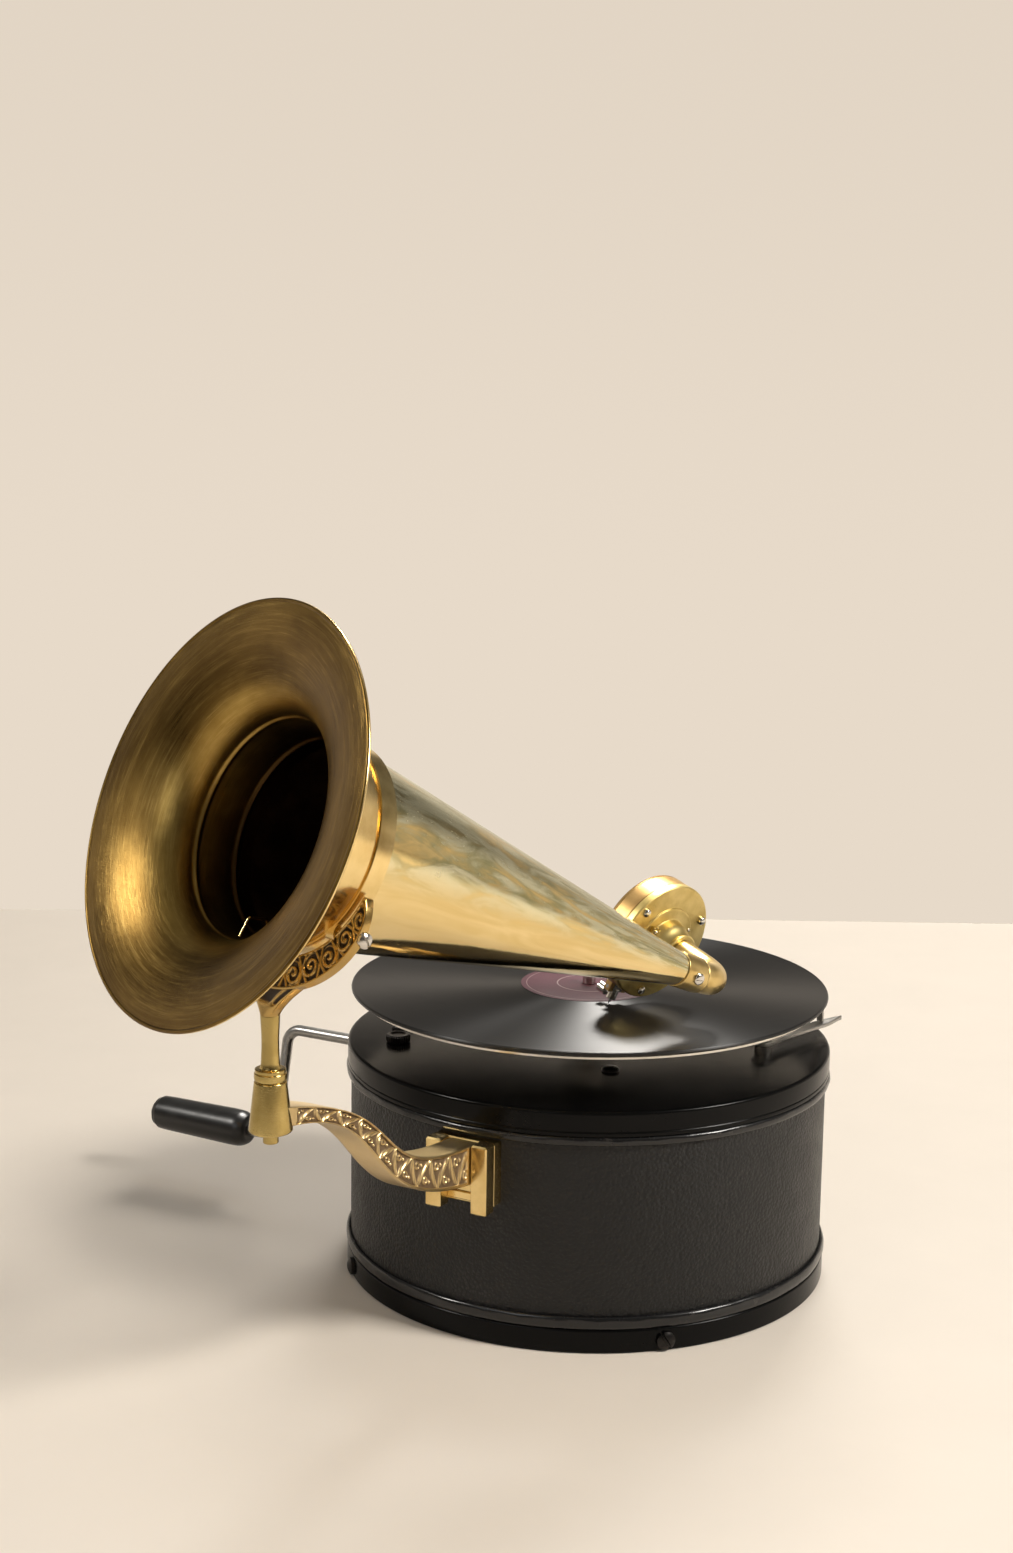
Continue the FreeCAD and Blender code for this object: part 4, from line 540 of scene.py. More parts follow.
# %% [markdown]
# A record is cut with one long spiral groove. At this size the groove can't be drawn one to one, so
# rings nearly a millimetre apart stand for it, as real geometry. The margins outside and inside the cut
# stay smooth, the disc's edge is a small bead, and the label is a thin sheet with the same hole.

# %% Record and label
GROOVE_PITCH = 0.95
GROOVE_DEPTH = 0.02
CUT_FROM, CUT_TO = 47.0, 122.5
HOLE_R = 3.65
disc_low, disc_high = node_span("record")
label_low, label_high = node_span("record_label")
disc_r, label_r = disc_high[0], label_high[0]


def groove_wave(reach):
    """Depth of the cut: half a cosine wave below the face, fading in over two millimetres at both margins."""
    fade = np.clip((reach - CUT_FROM) / 2, 0, 1) * np.clip((CUT_TO - reach) / 2, 0, 1)
    return GROOVE_DEPTH * fade * (np.cos(2 * np.pi * reach / GROOVE_PITCH) - 1) / 2


face_r = np.concatenate([[HOLE_R, label_r, label_r + 1.5, CUT_FROM - 0.5],
                         np.arange(CUT_FROM, CUT_TO, GROOVE_PITCH / 4), [CUT_TO + 0.5, disc_r - 1.6]])
face = np.column_stack([face_r, disc_high[2] - 0.05 + groove_wave(face_r)])
edge_turn = np.linspace(np.pi / 2, -np.pi / 2, 9)
edge_r = (disc_high[2] - disc_low[2]) / 2
edge = np.column_stack([disc_r - edge_r + edge_r * np.cos(edge_turn),
                        disc_low[2] + edge_r + edge_r * np.sin(edge_turn)])
under = np.array([[disc_r - 3, disc_low[2]], [HOLE_R, disc_low[2]]])
record_grid = turned(np.concatenate([face, edge, under]), CASE, 220)
piece("shellac_record", [record_grid], [shellac], "turntable", ["record"])
label_profile = rounded([(HOLE_R, label_high[2], 0.03), (label_r, label_high[2], 0.03),
                         (label_r, label_low[2], 0.03), (HOLE_R, label_low[2], 0.03)], 2)
piece("record_paper", [turned(label_profile, CASE, 160)], [paper], "turntable",
      ["record_label"])

# %% [markdown]
# Brass shows on this machine in several states. The bell was spun on a lathe and has gone brown, with
# bright rings where the tool ran, gilt in its hollow that is a painted reflection of the bright floor,
# and painted shade in its throat; the cone was polished and then clouded green-grey on its upper side,
# where dust and hands lie and where the green-grey is also a painted reflection of the wall, and its
# inside is near-black brass as painted shade; the castings are gilt on their crests and nearly black in
# their ground. Each is metal with its own colour, rings or clouds, and its own polish.

# %% Brass finishes
def spun_brown_brass():
    """Rings from the spinning tool over tarnish, brown at the rim; the gilt further in is a painted
    reflection of the bright floor, and the near-black throat is painted shade.
    """
    material, start = new_finish("spun_brown_brass")
    lay = lay_of(start)
    fine = grain(stretched(lay, 5.0, 5.0, 5200.0), 1.0, 4.0, 0.65)
    broad = grain(stretched(lay, 2.4, 2.4, 620.0), 1.0, 3.0, 0.6)
    clouds = grain(stretched(lay, 1.6, 1.6, 42.0), 1.0, 4.0, 0.6)
    rings = 0.55 * fine + 0.45 * broad
    # Painted shade: the colour fades to near black in the throat, where the narrow tube is in shade.
    throat_shade_fade = step(part_of(lay, "Z"), 0.004, 0.032)
    # Painted reflection: further in, the brown turns gilt and the tool rings turn brighter where the bell
    # mirrors the bright floor; the rim keeps its tarnish brown.
    hollow_reflection = step(part_of(lay, "Z"), 0.0495, 0.0420)
    rim_brown = shade(step(clouds, 0.30, 0.72), colour(0.115, 0.066, 0.016), colour(0.205, 0.125, 0.033))
    reflected_gilt_brown = shade(step(clouds, 0.30, 0.72), colour(0.270, 0.165, 0.040), colour(0.440, 0.290, 0.080))
    brown = shade(hollow_reflection, rim_brown, reflected_gilt_brown)
    gold = shade(step(rings, 0.46, 0.74) * (0.45 + 0.55 * hollow_reflection), brown, colour(0.560, 0.380, 0.120))
    # The near-black first colour here is the painted shade of the throat.
    return dress(material, {"Base Color": shade(throat_shade_fade, colour(0.045, 0.022, 0.008), gold), "Metallic": 1.0,
                            "Roughness": 0.19 + 0.14 * rings + 0.08 * clouds,
                            "Normal": bumped(rings, 0.00018, 0.7)})


def clouded_brass():
    """Polished sheet with green-grey smears and wipes on its top side, partly dust and partly a painted
    reflection of the wall, and a few long scratches.
    """
    material, start = new_finish("clouded_brass")
    lay = lay_of(start)
    at = place_of(start)
    smears = grain(stretched(lay, 2.0, 2.0, 14.0), 1.0, 3.0, 0.55, 1.6)
    wipes = grain(stretched(lay, 4.5, 4.5, 30.0), 1.0, 3.0, 0.55, 1.2)
    specks = grain(at, 260.0, 3.0)
    # Top side only: the smears there are dust and wipes, and also a painted reflection of the greyer wall
    # that this side mirrors.
    upper_dust_and_reflection = step(part_of(lay, "Y"), -0.30, 0.25)
    smears_and_reflection = step(0.55 * smears + 0.45 * wipes, 0.30, 0.52) * upper_dust_and_reflection
    clean = shade(step(smears, 0.35, 0.7), colour(0.770, 0.570, 0.240), colour(0.880, 0.690, 0.340))
    green = shade(step(wipes, 0.35, 0.62), colour(0.260, 0.265, 0.130), colour(0.640, 0.640, 0.460))
    scratches = step(grain(stretched(lay, 40.0, 6.0, 260.0), 1.0, 2.0), 0.66, 0.72)
    tone = shade(smears_and_reflection * (0.70 + 0.3 * specks), clean, green)
    return dress(material, {"Base Color": tone, "Metallic": 1.0,
                            "Roughness": 0.06 + 0.16 * smears_and_reflection + 0.04 * wipes + 0.10 * scratches,
                            "Normal": bumped(0.6 * smears + 0.4 * wipes, 0.00022, 0.4)})


def satin_gilt(name, dark, light, polish):
    """Turned and lightly brushed brass: rings from the lathe over slow changes of tone."""
    material, start = new_finish(name)
    lay = lay_of(start)
    at = place_of(start)
    rings = grain(stretched(lay, 4.0, 4.0, 3000.0), 1.0, 3.0)
    tone = grain(at, 70.0, 4.0)
    spots = step(grain(at, 420.0, 3.0), 0.64, 0.74)
    gold = shade(step(tone, 0.3, 0.7), colour(*dark), colour(*light))
    gold = shade(0.15 * spots, gold, colour(0.20, 0.13, 0.05))
    return dress(material, {"Base Color": gold, "Metallic": 1.0,
                            "Roughness": polish + 0.14 * rings + 0.12 * tone,
                            "Normal": bumped(rings, 0.00002, 0.3)})


def chased_casting(name, ground, crest, polish):
    """Cast ornament: dark in the ground, gilt on the crests, a little rough from the sand of the mould."""
    material, start = new_finish(name)
    at = place_of(start)
    sand = grain(at, 520.0, 4.0)
    tone = grain(at, 60.0, 3.0)
    high = step(relief_of(start) + 0.25 * (sand - 0.5), 0.18, 0.72)
    gold = shade(tone, colour(*crest), colour(crest[0] * 0.82, crest[1] * 0.78, crest[2] * 0.68))
    return dress(material, {"Base Color": shade(high, colour(*ground), gold), "Metallic": 0.35 + 0.65 * high,
                            "Roughness": polish + 0.30 * (1 - high) + 0.12 * sand,
                            "Normal": bumped(sand, 0.00008, 0.6)})


bell_brass = spun_brown_brass()
cone_brass = clouded_brass()
# Painted shade: near-black brass for the inside of the cone, where the tube lies in shade.
cone_inside_shade = satin_gilt("cone_inside_shade", (0.020, 0.009, 0.004), (0.050, 0.024, 0.010), 0.42)
pale_gilt = satin_gilt("pale_gilt", (0.70, 0.50, 0.20), (0.86, 0.66, 0.31), 0.09)
olive_gilt = satin_gilt("olive_gilt", (0.40, 0.29, 0.095), (0.58, 0.44, 0.17), 0.12)
elbow_gilt = satin_gilt("elbow_gilt", (0.60, 0.42, 0.15), (0.80, 0.61, 0.27), 0.19)
box_gilt = satin_gilt("box_gilt", (0.56, 0.41, 0.13), (0.76, 0.60, 0.25), 0.26)
drum_copper = satin_gilt("drum_copper", (0.36, 0.21, 0.075), (0.54, 0.35, 0.135), 0.26)
chased_brass = chased_casting("chased_brass", (0.150, 0.095, 0.045), (0.72, 0.55, 0.29), 0.27)
chased_dark = chased_casting("chased_dark", (0.030, 0.016, 0.006), (0.56, 0.38, 0.14), 0.18)
print("brass finishes:", bell_brass.name, "and nine more")

# %% [markdown]
# The small fittings are nickel, steel, rubber and wood. They differ only in colour, polish and grain,
# so one recipe serves the bare metals and one the dull dark pieces; the handle is turned wood, stained
# black and waxed by hands.

# %% Fitting finishes
def bare_metal(name, dark, light, polish, scale=300.0):
    """Plain metal: fine handling marks over a slow change of tone."""
    material, start = new_finish(name)
    at = place_of(start)
    marks = grain(stretched(at, 1.0, 1.0, 3.0), scale, 4.0, 0.6)
    tone = grain(at, 45.0, 3.0)
    worn = shade(step(0.5 * marks + 0.5 * tone, 0.3, 0.7), colour(*dark), colour(*light))
    return dress(material, {"Base Color": worn, "Metallic": 1.0,
                            "Roughness": polish + 0.16 * marks + 0.08 * tone,
                            "Normal": bumped(marks, 0.00004, 0.5)})


def dull_stuff(name, dark, light, polish, scale, depth):
    """Wood, felt, rubber, leather or iron: a grain in colour, polish and height."""
    material, start = new_finish(name)
    at = place_of(start)
    fibres = grain(at, scale, 5.0, 0.65)
    tone = grain(at, 30.0, 3.0)
    return dress(material, {"Base Color": shade(0.6 * fibres + 0.4 * tone, colour(*dark), colour(*light)),
                            "Roughness": polish + 0.22 * fibres, "Normal": bumped(fibres, depth, 0.7)})


nickel = bare_metal("nickel", (0.56, 0.53, 0.48), (0.78, 0.75, 0.70), 0.08)
steel_rod = bare_metal("steel_rod", (0.30, 0.29, 0.275), (0.46, 0.445, 0.42), 0.22, 700.0)
turned_steel = bare_metal("turned_steel", (0.36, 0.36, 0.36), (0.58, 0.58, 0.57), 0.18)
blued_steel = bare_metal("blued_steel", (0.06, 0.07, 0.10), (0.16, 0.18, 0.24), 0.20)
black_steel = bare_metal("black_steel", (0.020, 0.019, 0.019), (0.075, 0.070, 0.066), 0.22)
clock_bronze = bare_metal("clock_bronze", (0.50, 0.34, 0.14), (0.68, 0.50, 0.24), 0.18)
mica_sheet = dull_stuff("mica_sheet", (0.40, 0.35, 0.27), (0.60, 0.55, 0.45), 0.10, 90.0, 0.00002)
black_rubber = dull_stuff("black_rubber", (0.012, 0.012, 0.012), (0.03, 0.03, 0.03), 0.50, 500.0, 0.00005)
waxed_wood = dull_stuff("waxed_wood", (0.006, 0.006, 0.006), (0.022, 0.020, 0.018), 0.24, 160.0, 0.00006)
stained_board = dull_stuff("stained_board", (0.02, 0.016, 0.012), (0.06, 0.045, 0.03), 0.45, 220.0, 0.0001)
green_felt = dull_stuff("green_felt", (0.010, 0.014, 0.011), (0.030, 0.036, 0.028), 0.72, 1600.0, 0.0002)
cast_iron = dull_stuff("cast_iron", (0.05, 0.05, 0.05), (0.11, 0.11, 0.11), 0.40, 350.0, 0.0001)
brake_hide = dull_stuff("brake_hide", (0.09, 0.045, 0.02), (0.20, 0.11, 0.055), 0.50, 700.0, 0.0001)
print("fitting finishes:", nickel.name, "and twelve more")

# %% [markdown]
# Pieces that a case or a shell hides, and small fittings whose plain shape is already right, keep the
# skeleton's own solids and only change their finish. A dictionary from finish to nodes says it in one
# place.

# %% Finishes for the skeleton's own solids
KEPT = {
    stained_board: ["base_plate"],
    black_steel: ["click_pawl", "motor_bolts"],
    nickel: ["bracket_bolts", "crank_bush", "brake_post", "spindle", "elbow_screw", "stylus_bar",
             "needle_screw"],
    cast_iron: ["motor_top_plate", "motor_bottom_plate"],
    clock_bronze: ["spindle_bush", "governor_wheel", "second_wheel", "great_wheel", "governor_weights",
                   "governor_disc"],
    turned_steel: ["motor_pillars", "second_arbor", "barrel_drum", "barrel_cover", "barrel_arbor",
                   "winding_wheel", "ratchet_wheel", "winding_pinion", "governor_shaft", "regulator_arm",
                   "needle"],
    blued_steel: ["mainspring", "governor_springs"],
    green_felt: ["turntable_mat"],
    mica_sheet: ["diaphragm"],
    black_rubber: ["gaskets"],
    pale_gilt: ["horn_collar"],
}
for finish, nodes in KEPT.items():
    for node in nodes:
        for slot in frame["nodes"][node].material_slots:
            slot.material = finish
print("solids kept:", sum(len(nodes) for nodes in KEPT.values()))

# %% [markdown]
# The platter is a nickelled pan with a rolled edge, of which only a bright line shows under the record.
# Its hub hangs below on the spindle. It is one profile turned about the spindle.

# %% Platter
pan_low, pan_high = node_span("platter")
PAN_T = 3.0
PAN_DRAWN_IN = 4.0
PAN_ROLL = 2.2
HUB_R = 15.0
HUB_BORE_R = 4.1
pan_r, pan_top = pan_high[0] - PAN_DRAWN_IN, pan_high[2]
pan_profile = rounded([(HUB_BORE_R, pan_top, 0.2), (pan_r, pan_top, 0.9), (pan_r, pan_top - PAN_ROLL, 0.9),
                       (pan_r - 4, pan_top - PAN_ROLL, 0.8), (pan_r - 6, pan_top - PAN_T, 0.6),
                       (HUB_R, pan_top - PAN_T, 0.6), (HUB_R, pan_low[2], 0.8),
                       (HUB_BORE_R, pan_low[2], 0.3)])
piece("platter_pan", [turned(pan_profile, CASE, 256)], [nickel], "turntable", ["platter"])

# %% [markdown]
# The horn leans up and to one side, so its own frame is built from the tilt joint: the joint's axis is
# across, the mouth points out, and the horn's axis lies a fixed drop above the joint. The bell was spun
# from one sheet: a short throat with two rolled ridges, a flare that is a quarter of an ellipse, and a
# rim rolled round a wire. Its inside and its outside wear different finishes, so each row of the
# profile says which one it takes.

# %% Horn frame and bell
HORN_RISE = math.radians(22.15)
TILT_DROP = 31.6
RIM_R = 89.4
RIM_BEAD_R = 0.95
BELL_DEPTH = 51.1
FLARE_DEPTH = 24.0
THROAT_R = 47.8
BELL_T = 1.0
CONE_R = 44.0
RIDGES = ((7.1, 0.9), (25.5, 0.7))
RIM_ROWS_INSIDE = 7
across = np.array(joints["horn_tilt"]["axis"], float)
level = np.array([across[1], -across[0], 0.0])
mouthward = level * math.cos(HORN_RISE) + UP * math.sin(HORN_RISE)
horn_up = np.cross(mouthward, across)
HORN = seat(joint_spot("horn_tilt") + horn_up * TILT_DROP, mouthward, across)
flare_from = BELL_DEPTH - FLARE_DEPTH


def flare(throat, depth, count=40):
    """A quarter ellipse from the throat's radius to the rim's: r = rim - a cos q, s = start + b sin q."""
    q = np.linspace(0, np.pi / 2, count)
    return np.column_stack([RIM_R - (RIM_R - throat) * np.cos(q), flare_from + depth * np.sin(q)])


def ridge_height(s):
    """Two narrow swellings of the throat, each a bell curve across its ridge."""
    return sum(height * np.exp(-((s - spot) / 0.9) ** 2) for spot, height in RIDGES)


throat_s = np.linspace(0, flare_from, 70)
throat_in = CONE_R - BELL_T + (THROAT_R - CONE_R + BELL_T) * throat_s / flare_from - ridge_height(throat_s)
throat_out = CONE_R + (THROAT_R + BELL_T - CONE_R) * throat_s / flare_from
bead_turn = np.linspace(2.6, -2.6, 17)
rim = np.column_stack([RIM_R + RIM_BEAD_R * np.cos(bead_turn),
                       BELL_DEPTH - BELL_T / 2 + RIM_BEAD_R * np.sin(bead_turn)])
inside = np.concatenate([np.column_stack([throat_in, throat_s]), flare(THROAT_R, FLARE_DEPTH)[1:-1]])
outside = np.concatenate([flare(THROAT_R + BELL_T, FLARE_DEPTH - BELL_T)[::-1][1:-1],
                          np.column_stack([throat_out, throat_s])[::-1]])
bell_rows = np.concatenate([inside, rim, outside])
bell_skin = (np.arange(len(bell_rows)) >= len(inside) + RIM_ROWS_INSIDE).astype(int)
piece("horn_mouth", [turned(bell_rows, HORN, 224, skin=bell_skin)], [bell_brass, pale_gilt], "horn",
      ["horn_bell"])

# %% [markdown]
# The cone is sheet brass rolled up and soldered: it is never perfectly true, and long shallow dents
# make its reflections swim. A folded seam runs along its underside. A plain sleeve joins it to the
# elbow.

# %% Cone and ferrule
CONE_END_R = 8.5
CONE_L = 228.9
CONE_T = 0.8
FERRULE_R = 9.0
FERRULE_L = 17.0
FERRULE_BORE_R = 6.0
SEAM_AT = -math.pi / 2 + 2 * math.pi


def rolled_by_hand(angle, height, radius):
    """Long dents that fade towards the ends, and one raised seam along the underside, added to the radius."""
    dents = np.sin(2 * angle + height * 0.021) + 0.6 * np.sin(5 * angle - height * 0.043 + 1.0) - 1.6
    seam = np.exp(-((angle - SEAM_AT) * radius / 1.6) ** 2)
    return (0.10 * dents + 0.12 * seam) * np.sin(np.pi * np.clip(-height / CONE_L, 0, 1)) ** 0.5


along_cone = np.linspace(0, 1, 90)
cone_out = np.column_stack([CONE_R + (CONE_END_R - CONE_R) * along_cone, -CONE_L * along_cone])
cone_in = cone_out[::-1] - np.array([CONE_T, 0])
cone_skin = np.repeat([0, 1], len(cone_out))
cone_grid = turned(np.concatenate([cone_out, cone_in]), HORN, 160, rolled_by_hand, cone_skin)
# Inside, the cone wears near-black brass as painted shade.
piece("horn_cone_sheet", [cone_grid], [cone_brass, cone_inside_shade], "horn", ["horn_cone"])
ferrule_from = -CONE_L - 0.35
ferrule_to = -CONE_L - FERRULE_L
ferrule_profile = rounded([(FERRULE_BORE_R, ferrule_from, 0.2), (FERRULE_R, ferrule_from, 0.5),
                           (FERRULE_R - 0.1, ferrule_to + 2.2, 0.1), (FERRULE_R - 0.5, ferrule_to + 1.8, 0.1),
                           (FERRULE_R - 0.2, ferrule_to + 1.4, 0.2), (FERRULE_R - 0.4, ferrule_to, 0.4),
                           (FERRULE_BORE_R, ferrule_to, 0.2)])
piece("ferrule_sleeve", [turned(ferrule_profile, HORN, 96)], [elbow_gilt], "horn",
      ["horn_ferrule"])

# %% [markdown]
# The elbow is a bent tube: straight, a round bend, and straight again into the neck on which the
# soundbox turns. A bend is an arc whose centre lies on the inner side; the same rule also bends the
# winding crank later.

# %% Bends and the elbow
def course_of(corners, bend, steps=16):
    """Straight runs joined by arcs: each arc starts bend times tan(half the turn) before its corner."""
    corners = np.asarray(corners, float)
    runs = np.diff(corners, axis=0)
    runs = runs / np.linalg.norm(runs, axis=1, keepdims=True)
    came, goes = runs[:-1], runs[1:]
    cosine = np.einsum("ij,ij->i", came, goes)[:, None]
    turn_by = np.arccos(cosine)
    side = goes - came * cosine
    side = side / np.linalg.norm(side, axis=1, keepdims=True)
    start = corners[1:-1] - came * bend * np.tan(turn_by / 2)
    a = (np.linspace(0, 1, steps + 1)[None] * turn_by)[..., None]
    arcs = start[:, None] + side[:, None] * bend * (1 - np.cos(a)) + came[:, None] * bend * np.sin(a)
    return np.concatenate([corners[:1], arcs.reshape(-1, 3), corners[-1:]])


def rod_along(course, radius, normal, sides=40):
    """A circle spanned by the plane's normal and the inward side, carried along a flat course."""
    along = np.gradient(course, axis=0)
    along = along / np.linalg.norm(along, axis=1, keepdims=True)
    normal = np.asarray(normal, float) / np.linalg.norm(normal)
    angle = np.linspace(0, 2 * np.pi, sides, endpoint=False)[None, :, None]
    reach = np.broadcast_to(np.asarray(radius, float).reshape(-1, 1, 1), (len(course), 1, 1))
    around = np.cross(normal, along)[:, None] * np.cos(angle) + normal * np.sin(angle)
    run = np.concatenate([[0], np.cumsum(np.linalg.norm(np.diff(course, axis=0), axis=1))])[:, None, None]
    lay = np.concatenate([np.cos(angle) + 0 * run, np.sin(angle) + 0 * run, run * MM + 0 * angle], -1)
    return grid(course[:, None] + around * reach, ring=False, lay=lay)


ELBOW_R = 8.0
ELBOW_BEND_R = 14.0
ELBOW_LEAD = 3.5
ELBOW_TAIL = 15.0
NECK_R = 6.0
NECK_L = 12.35
tube_dir = -mouthward
neck_dir = np.array(joints["soundbox_turn"]["axis"], float)
elbow_from = HORN[3] + tube_dir * (CONE_L + FERRULE_L)
elbow_turn = math.acos(float(tube_dir @ neck_dir))
elbow_corner = elbow_from + tube_dir * (ELBOW_LEAD + ELBOW_BEND_R * math.tan(elbow_turn / 2))
bend_end = elbow_corner + neck_dir * ELBOW_BEND_R * math.tan(elbow_turn / 2)
elbow_course = course_of([elbow_from, elbow_corner, bend_end + neck_dir * ELBOW_TAIL], ELBOW_BEND_R, 28)
elbow_plane = np.cross(tube_dir, neck_dir)
neck_seat = seat(bend_end + neck_dir * (ELBOW_TAIL - 1), neck_dir, UP)
neck_profile = rounded([(0, 0, 0), (NECK_R, 0, 0.2), (NECK_R, NECK_L + 1, 0.4), (0, NECK_L + 1, 0)])
elbow_parts = [rod_along(elbow_course, ELBOW_R, elbow_plane), turned(neck_profile, neck_seat, 64)]
piece("elbow_tube", elbow_parts, [elbow_gilt], "horn", ["elbow"])

# %% [markdown]
# The soundbox is a shallow round can. Its back is a gilt plate with a bright chamfer, on which a low
# step, a dome and a collar lead to the neck; its drum is more coppery and has one fine groove. Two
# cheeks under the drum hold the needle bar. The frame points along the neck, with the needle bar's own
# axis across.

# %% Soundbox
BACK_R = 31.5
BACK_T = 4.0
NECK_BORE_R = 6.1
DRUM_R = 31.3
DRUM_IN_R = 27.4
DRUM_T = 11.0
LIP_R = 24.4
LIP_T = 1.5
STEP_R = 19.6
DOME_R = 13.6
BOSS_R = 10.6
BOSS_H = 13.2
CHEEK = ((3.85, -36.0, 12.8), (6.85, -29.0, 17.2))
BOX = seat(bend_end + neck_dir * (ELBOW_TAIL + 0.35 + BOSS_H), neck_dir, joints["stylus_rock"]["axis"])
back_profile = rounded([
    (NECK_BORE_R, BACK_T, 0.2), (BACK_R, BACK_T, 0.2), (BACK_R, 0.6, 0.2), (BACK_R - 0.6, 0, 0.2),
    (STEP_R, 0, 0.2), (STEP_R - 0.2, -0.8, 0.2), (STEP_R - 0.8, -1.0, 0.3), (DOME_R, -1.1, 0.5),
    (DOME_R - 1.0, -6.2, 1.6), (BOSS_R, -9.6, 1.8), (BOSS_R - 0.5, -11.6, 0.5), (BOSS_R - 0.1, -12.0, 0.2),
    (BOSS_R - 0.1, -12.9, 0.3), (BOSS_R - 0.7, -BOSS_H, 0.2), (NECK_BORE_R, -BOSS_H, 0.2)])
piece("soundbox_plate", [turned(back_profile, BOX, 128)], [box_gilt], "soundbox",
      ["soundbox_back"])
drum_to = BACK_T + DRUM_T
drum_profile = rounded([
    (DRUM_IN_R, BACK_T, 0.2), (DRUM_R - 0.4, BACK_T, 0.2), (DRUM_R, BACK_T + 0.6, 0.2),
    (DRUM_R, drum_to - 2.2, 0.2), (DRUM_R - 0.4, drum_to - 1.9, 0.1), (DRUM_R, drum_to - 1.6, 0.15),
    (DRUM_R - 0.4, drum_to, 0.7), (LIP_R, drum_to, 0.4), (LIP_R, drum_to - LIP_T, 0.2),
    (DRUM_IN_R, drum_to - LIP_T, 0.2)])
mirrored_cheek = ((-CHEEK[1][0], *CHEEK[0][1:]), (-CHEEK[0][0], *CHEEK[1][1:]))
cheeks = [block(*cheek, BOX, 0.7, 0.4) for cheek in (CHEEK, mirrored_cheek)]
piece("soundbox_drum", [turned(drum_profile, BOX, 128), *cheeks], [drum_copper], "soundbox",
      ["soundbox_case"])


def on_back(radius, degrees_round, lift):
    """A frame on the soundbox's back, its third axis out of the plate."""
    a = math.radians(degrees_round)
    spot = put(np.array([radius * math.cos(a), radius * math.sin(a), -lift]), BOX)
    return seat(spot, -BOX[2], BOX[0])


def dome_head(radius, height):
    """A screw's round head: a quarter ellipse from the rim to the crown, on a flat foot."""
    q = np.linspace(0, np.pi / 2, 10)
    crown = np.column_stack([radius * np.cos(q), 0.3 * height + 0.7 * height * np.sin(q)])
    return np.concatenate([[[0, 0], [radius, 0]], crown])


STOP_AT = (14.8, 25)
STOP_HALF = 2.4
STOP_H = 2.6
PIN_AT = (17.2, 148)
SCREW_REACH = 27.2
SCREWS_AT = (33, 147, 270)
stop_seat = on_back(*STOP_AT, 1.0)
stop_block = block((-STOP_HALF, -STOP_HALF, 0), (STOP_HALF, STOP_HALF, STOP_H), stop_seat, 0.5, 0.3)
piece("soundbox_stop", [stop_block], [olive_gilt], "soundbox")
studs = [turned(dome_head(1.2, 1.0), on_back(*STOP_AT, 1.0 + STOP_H), 32),
         turned(dome_head(0.9, 0.8), on_back(*PIN_AT, 1.05), 24)]
studs += [turned(dome_head(2.3, 2.2), on_back(SCREW_REACH, degrees_round, -0.02), 40)
          for degrees_round in SCREWS_AT]
piece("soundbox_studs", studs, [nickel], "soundbox", ["soundbox_screws"])

# %% [markdown]
# The yoke is a cast crescent that holds the horn between its two points. Its front is sunk and filled
# with scrolls between raised borders, its edge is gilt, and a fan leads down to a round stem that turns
# in the socket. The sunk front is a height over two numbers, the distance along the crescent and the
# share across it: each scroll is a spiral wave round its own centre, fading before it meets the next.

# %% Relief helpers and the yoke's crescent
def smooth_step(value, low, high):
    """0 below low, 1 above high, with the cubic 3t2 - 2t3 between."""
    t = np.clip((value - low) / (high - low), 0, 1)
    return t * t * (3 - 2 * t)


YOKE_INNER_R = 48.0
YOKE_DEPTH = 14.0
YOKE_TIP = math.radians(18)
YOKE_TAPER = math.radians(10.5)
YOKE_FRONT = 3.25
YOKE_BACK = -1.1
SUNK = 1.2
SCROLL_PITCH = 11.0
SCROLL_TURN = 3.1


def crescent_depth(phi):
    """Width of the band: its full depth, less an exponential that nearly closes it at both tips."""
    from_tip = np.pi / 2 - np.abs(phi + np.pi / 2) - YOKE_TIP
    return YOKE_DEPTH * (1 - 0.88 * np.exp(-from_tip / YOKE_TAPER))


def scrolls(run, share, half_width):
    """Raised borders, and between them spirals: cos(2 pi rho / turn - psi) round centres a pitch apart."""
    cell = np.floor(run / SCROLL_PITCH)
    hand = np.where(cell % 2 == 0, 1.0, -1.0)
    x = (run / SCROLL_PITCH - cell - 0.5) * SCROLL_PITCH * hand
    y = share * half_width + 0.5 * hand
    rho, psi = np.hypot(x, y), np.arctan2(y, x)
    spiral = smooth_step(np.cos(2 * np.pi * rho / SCROLL_TURN - psi), -0.35, 0.75)
    spiral = spiral * smooth_step(-rho, -5.8, -4.4)
    leaf = np.exp(-((np.abs(x) - SCROLL_PITCH / 2 + 0.4 * np.abs(y)) / 0.8) ** 2) * 0.75
    border = smooth_step(np.abs(share) * half_width, half_width - 1.5, half_width - 0.9)
    return np.maximum(border, np.maximum(spiral, leaf * (half_width > 2.2)))


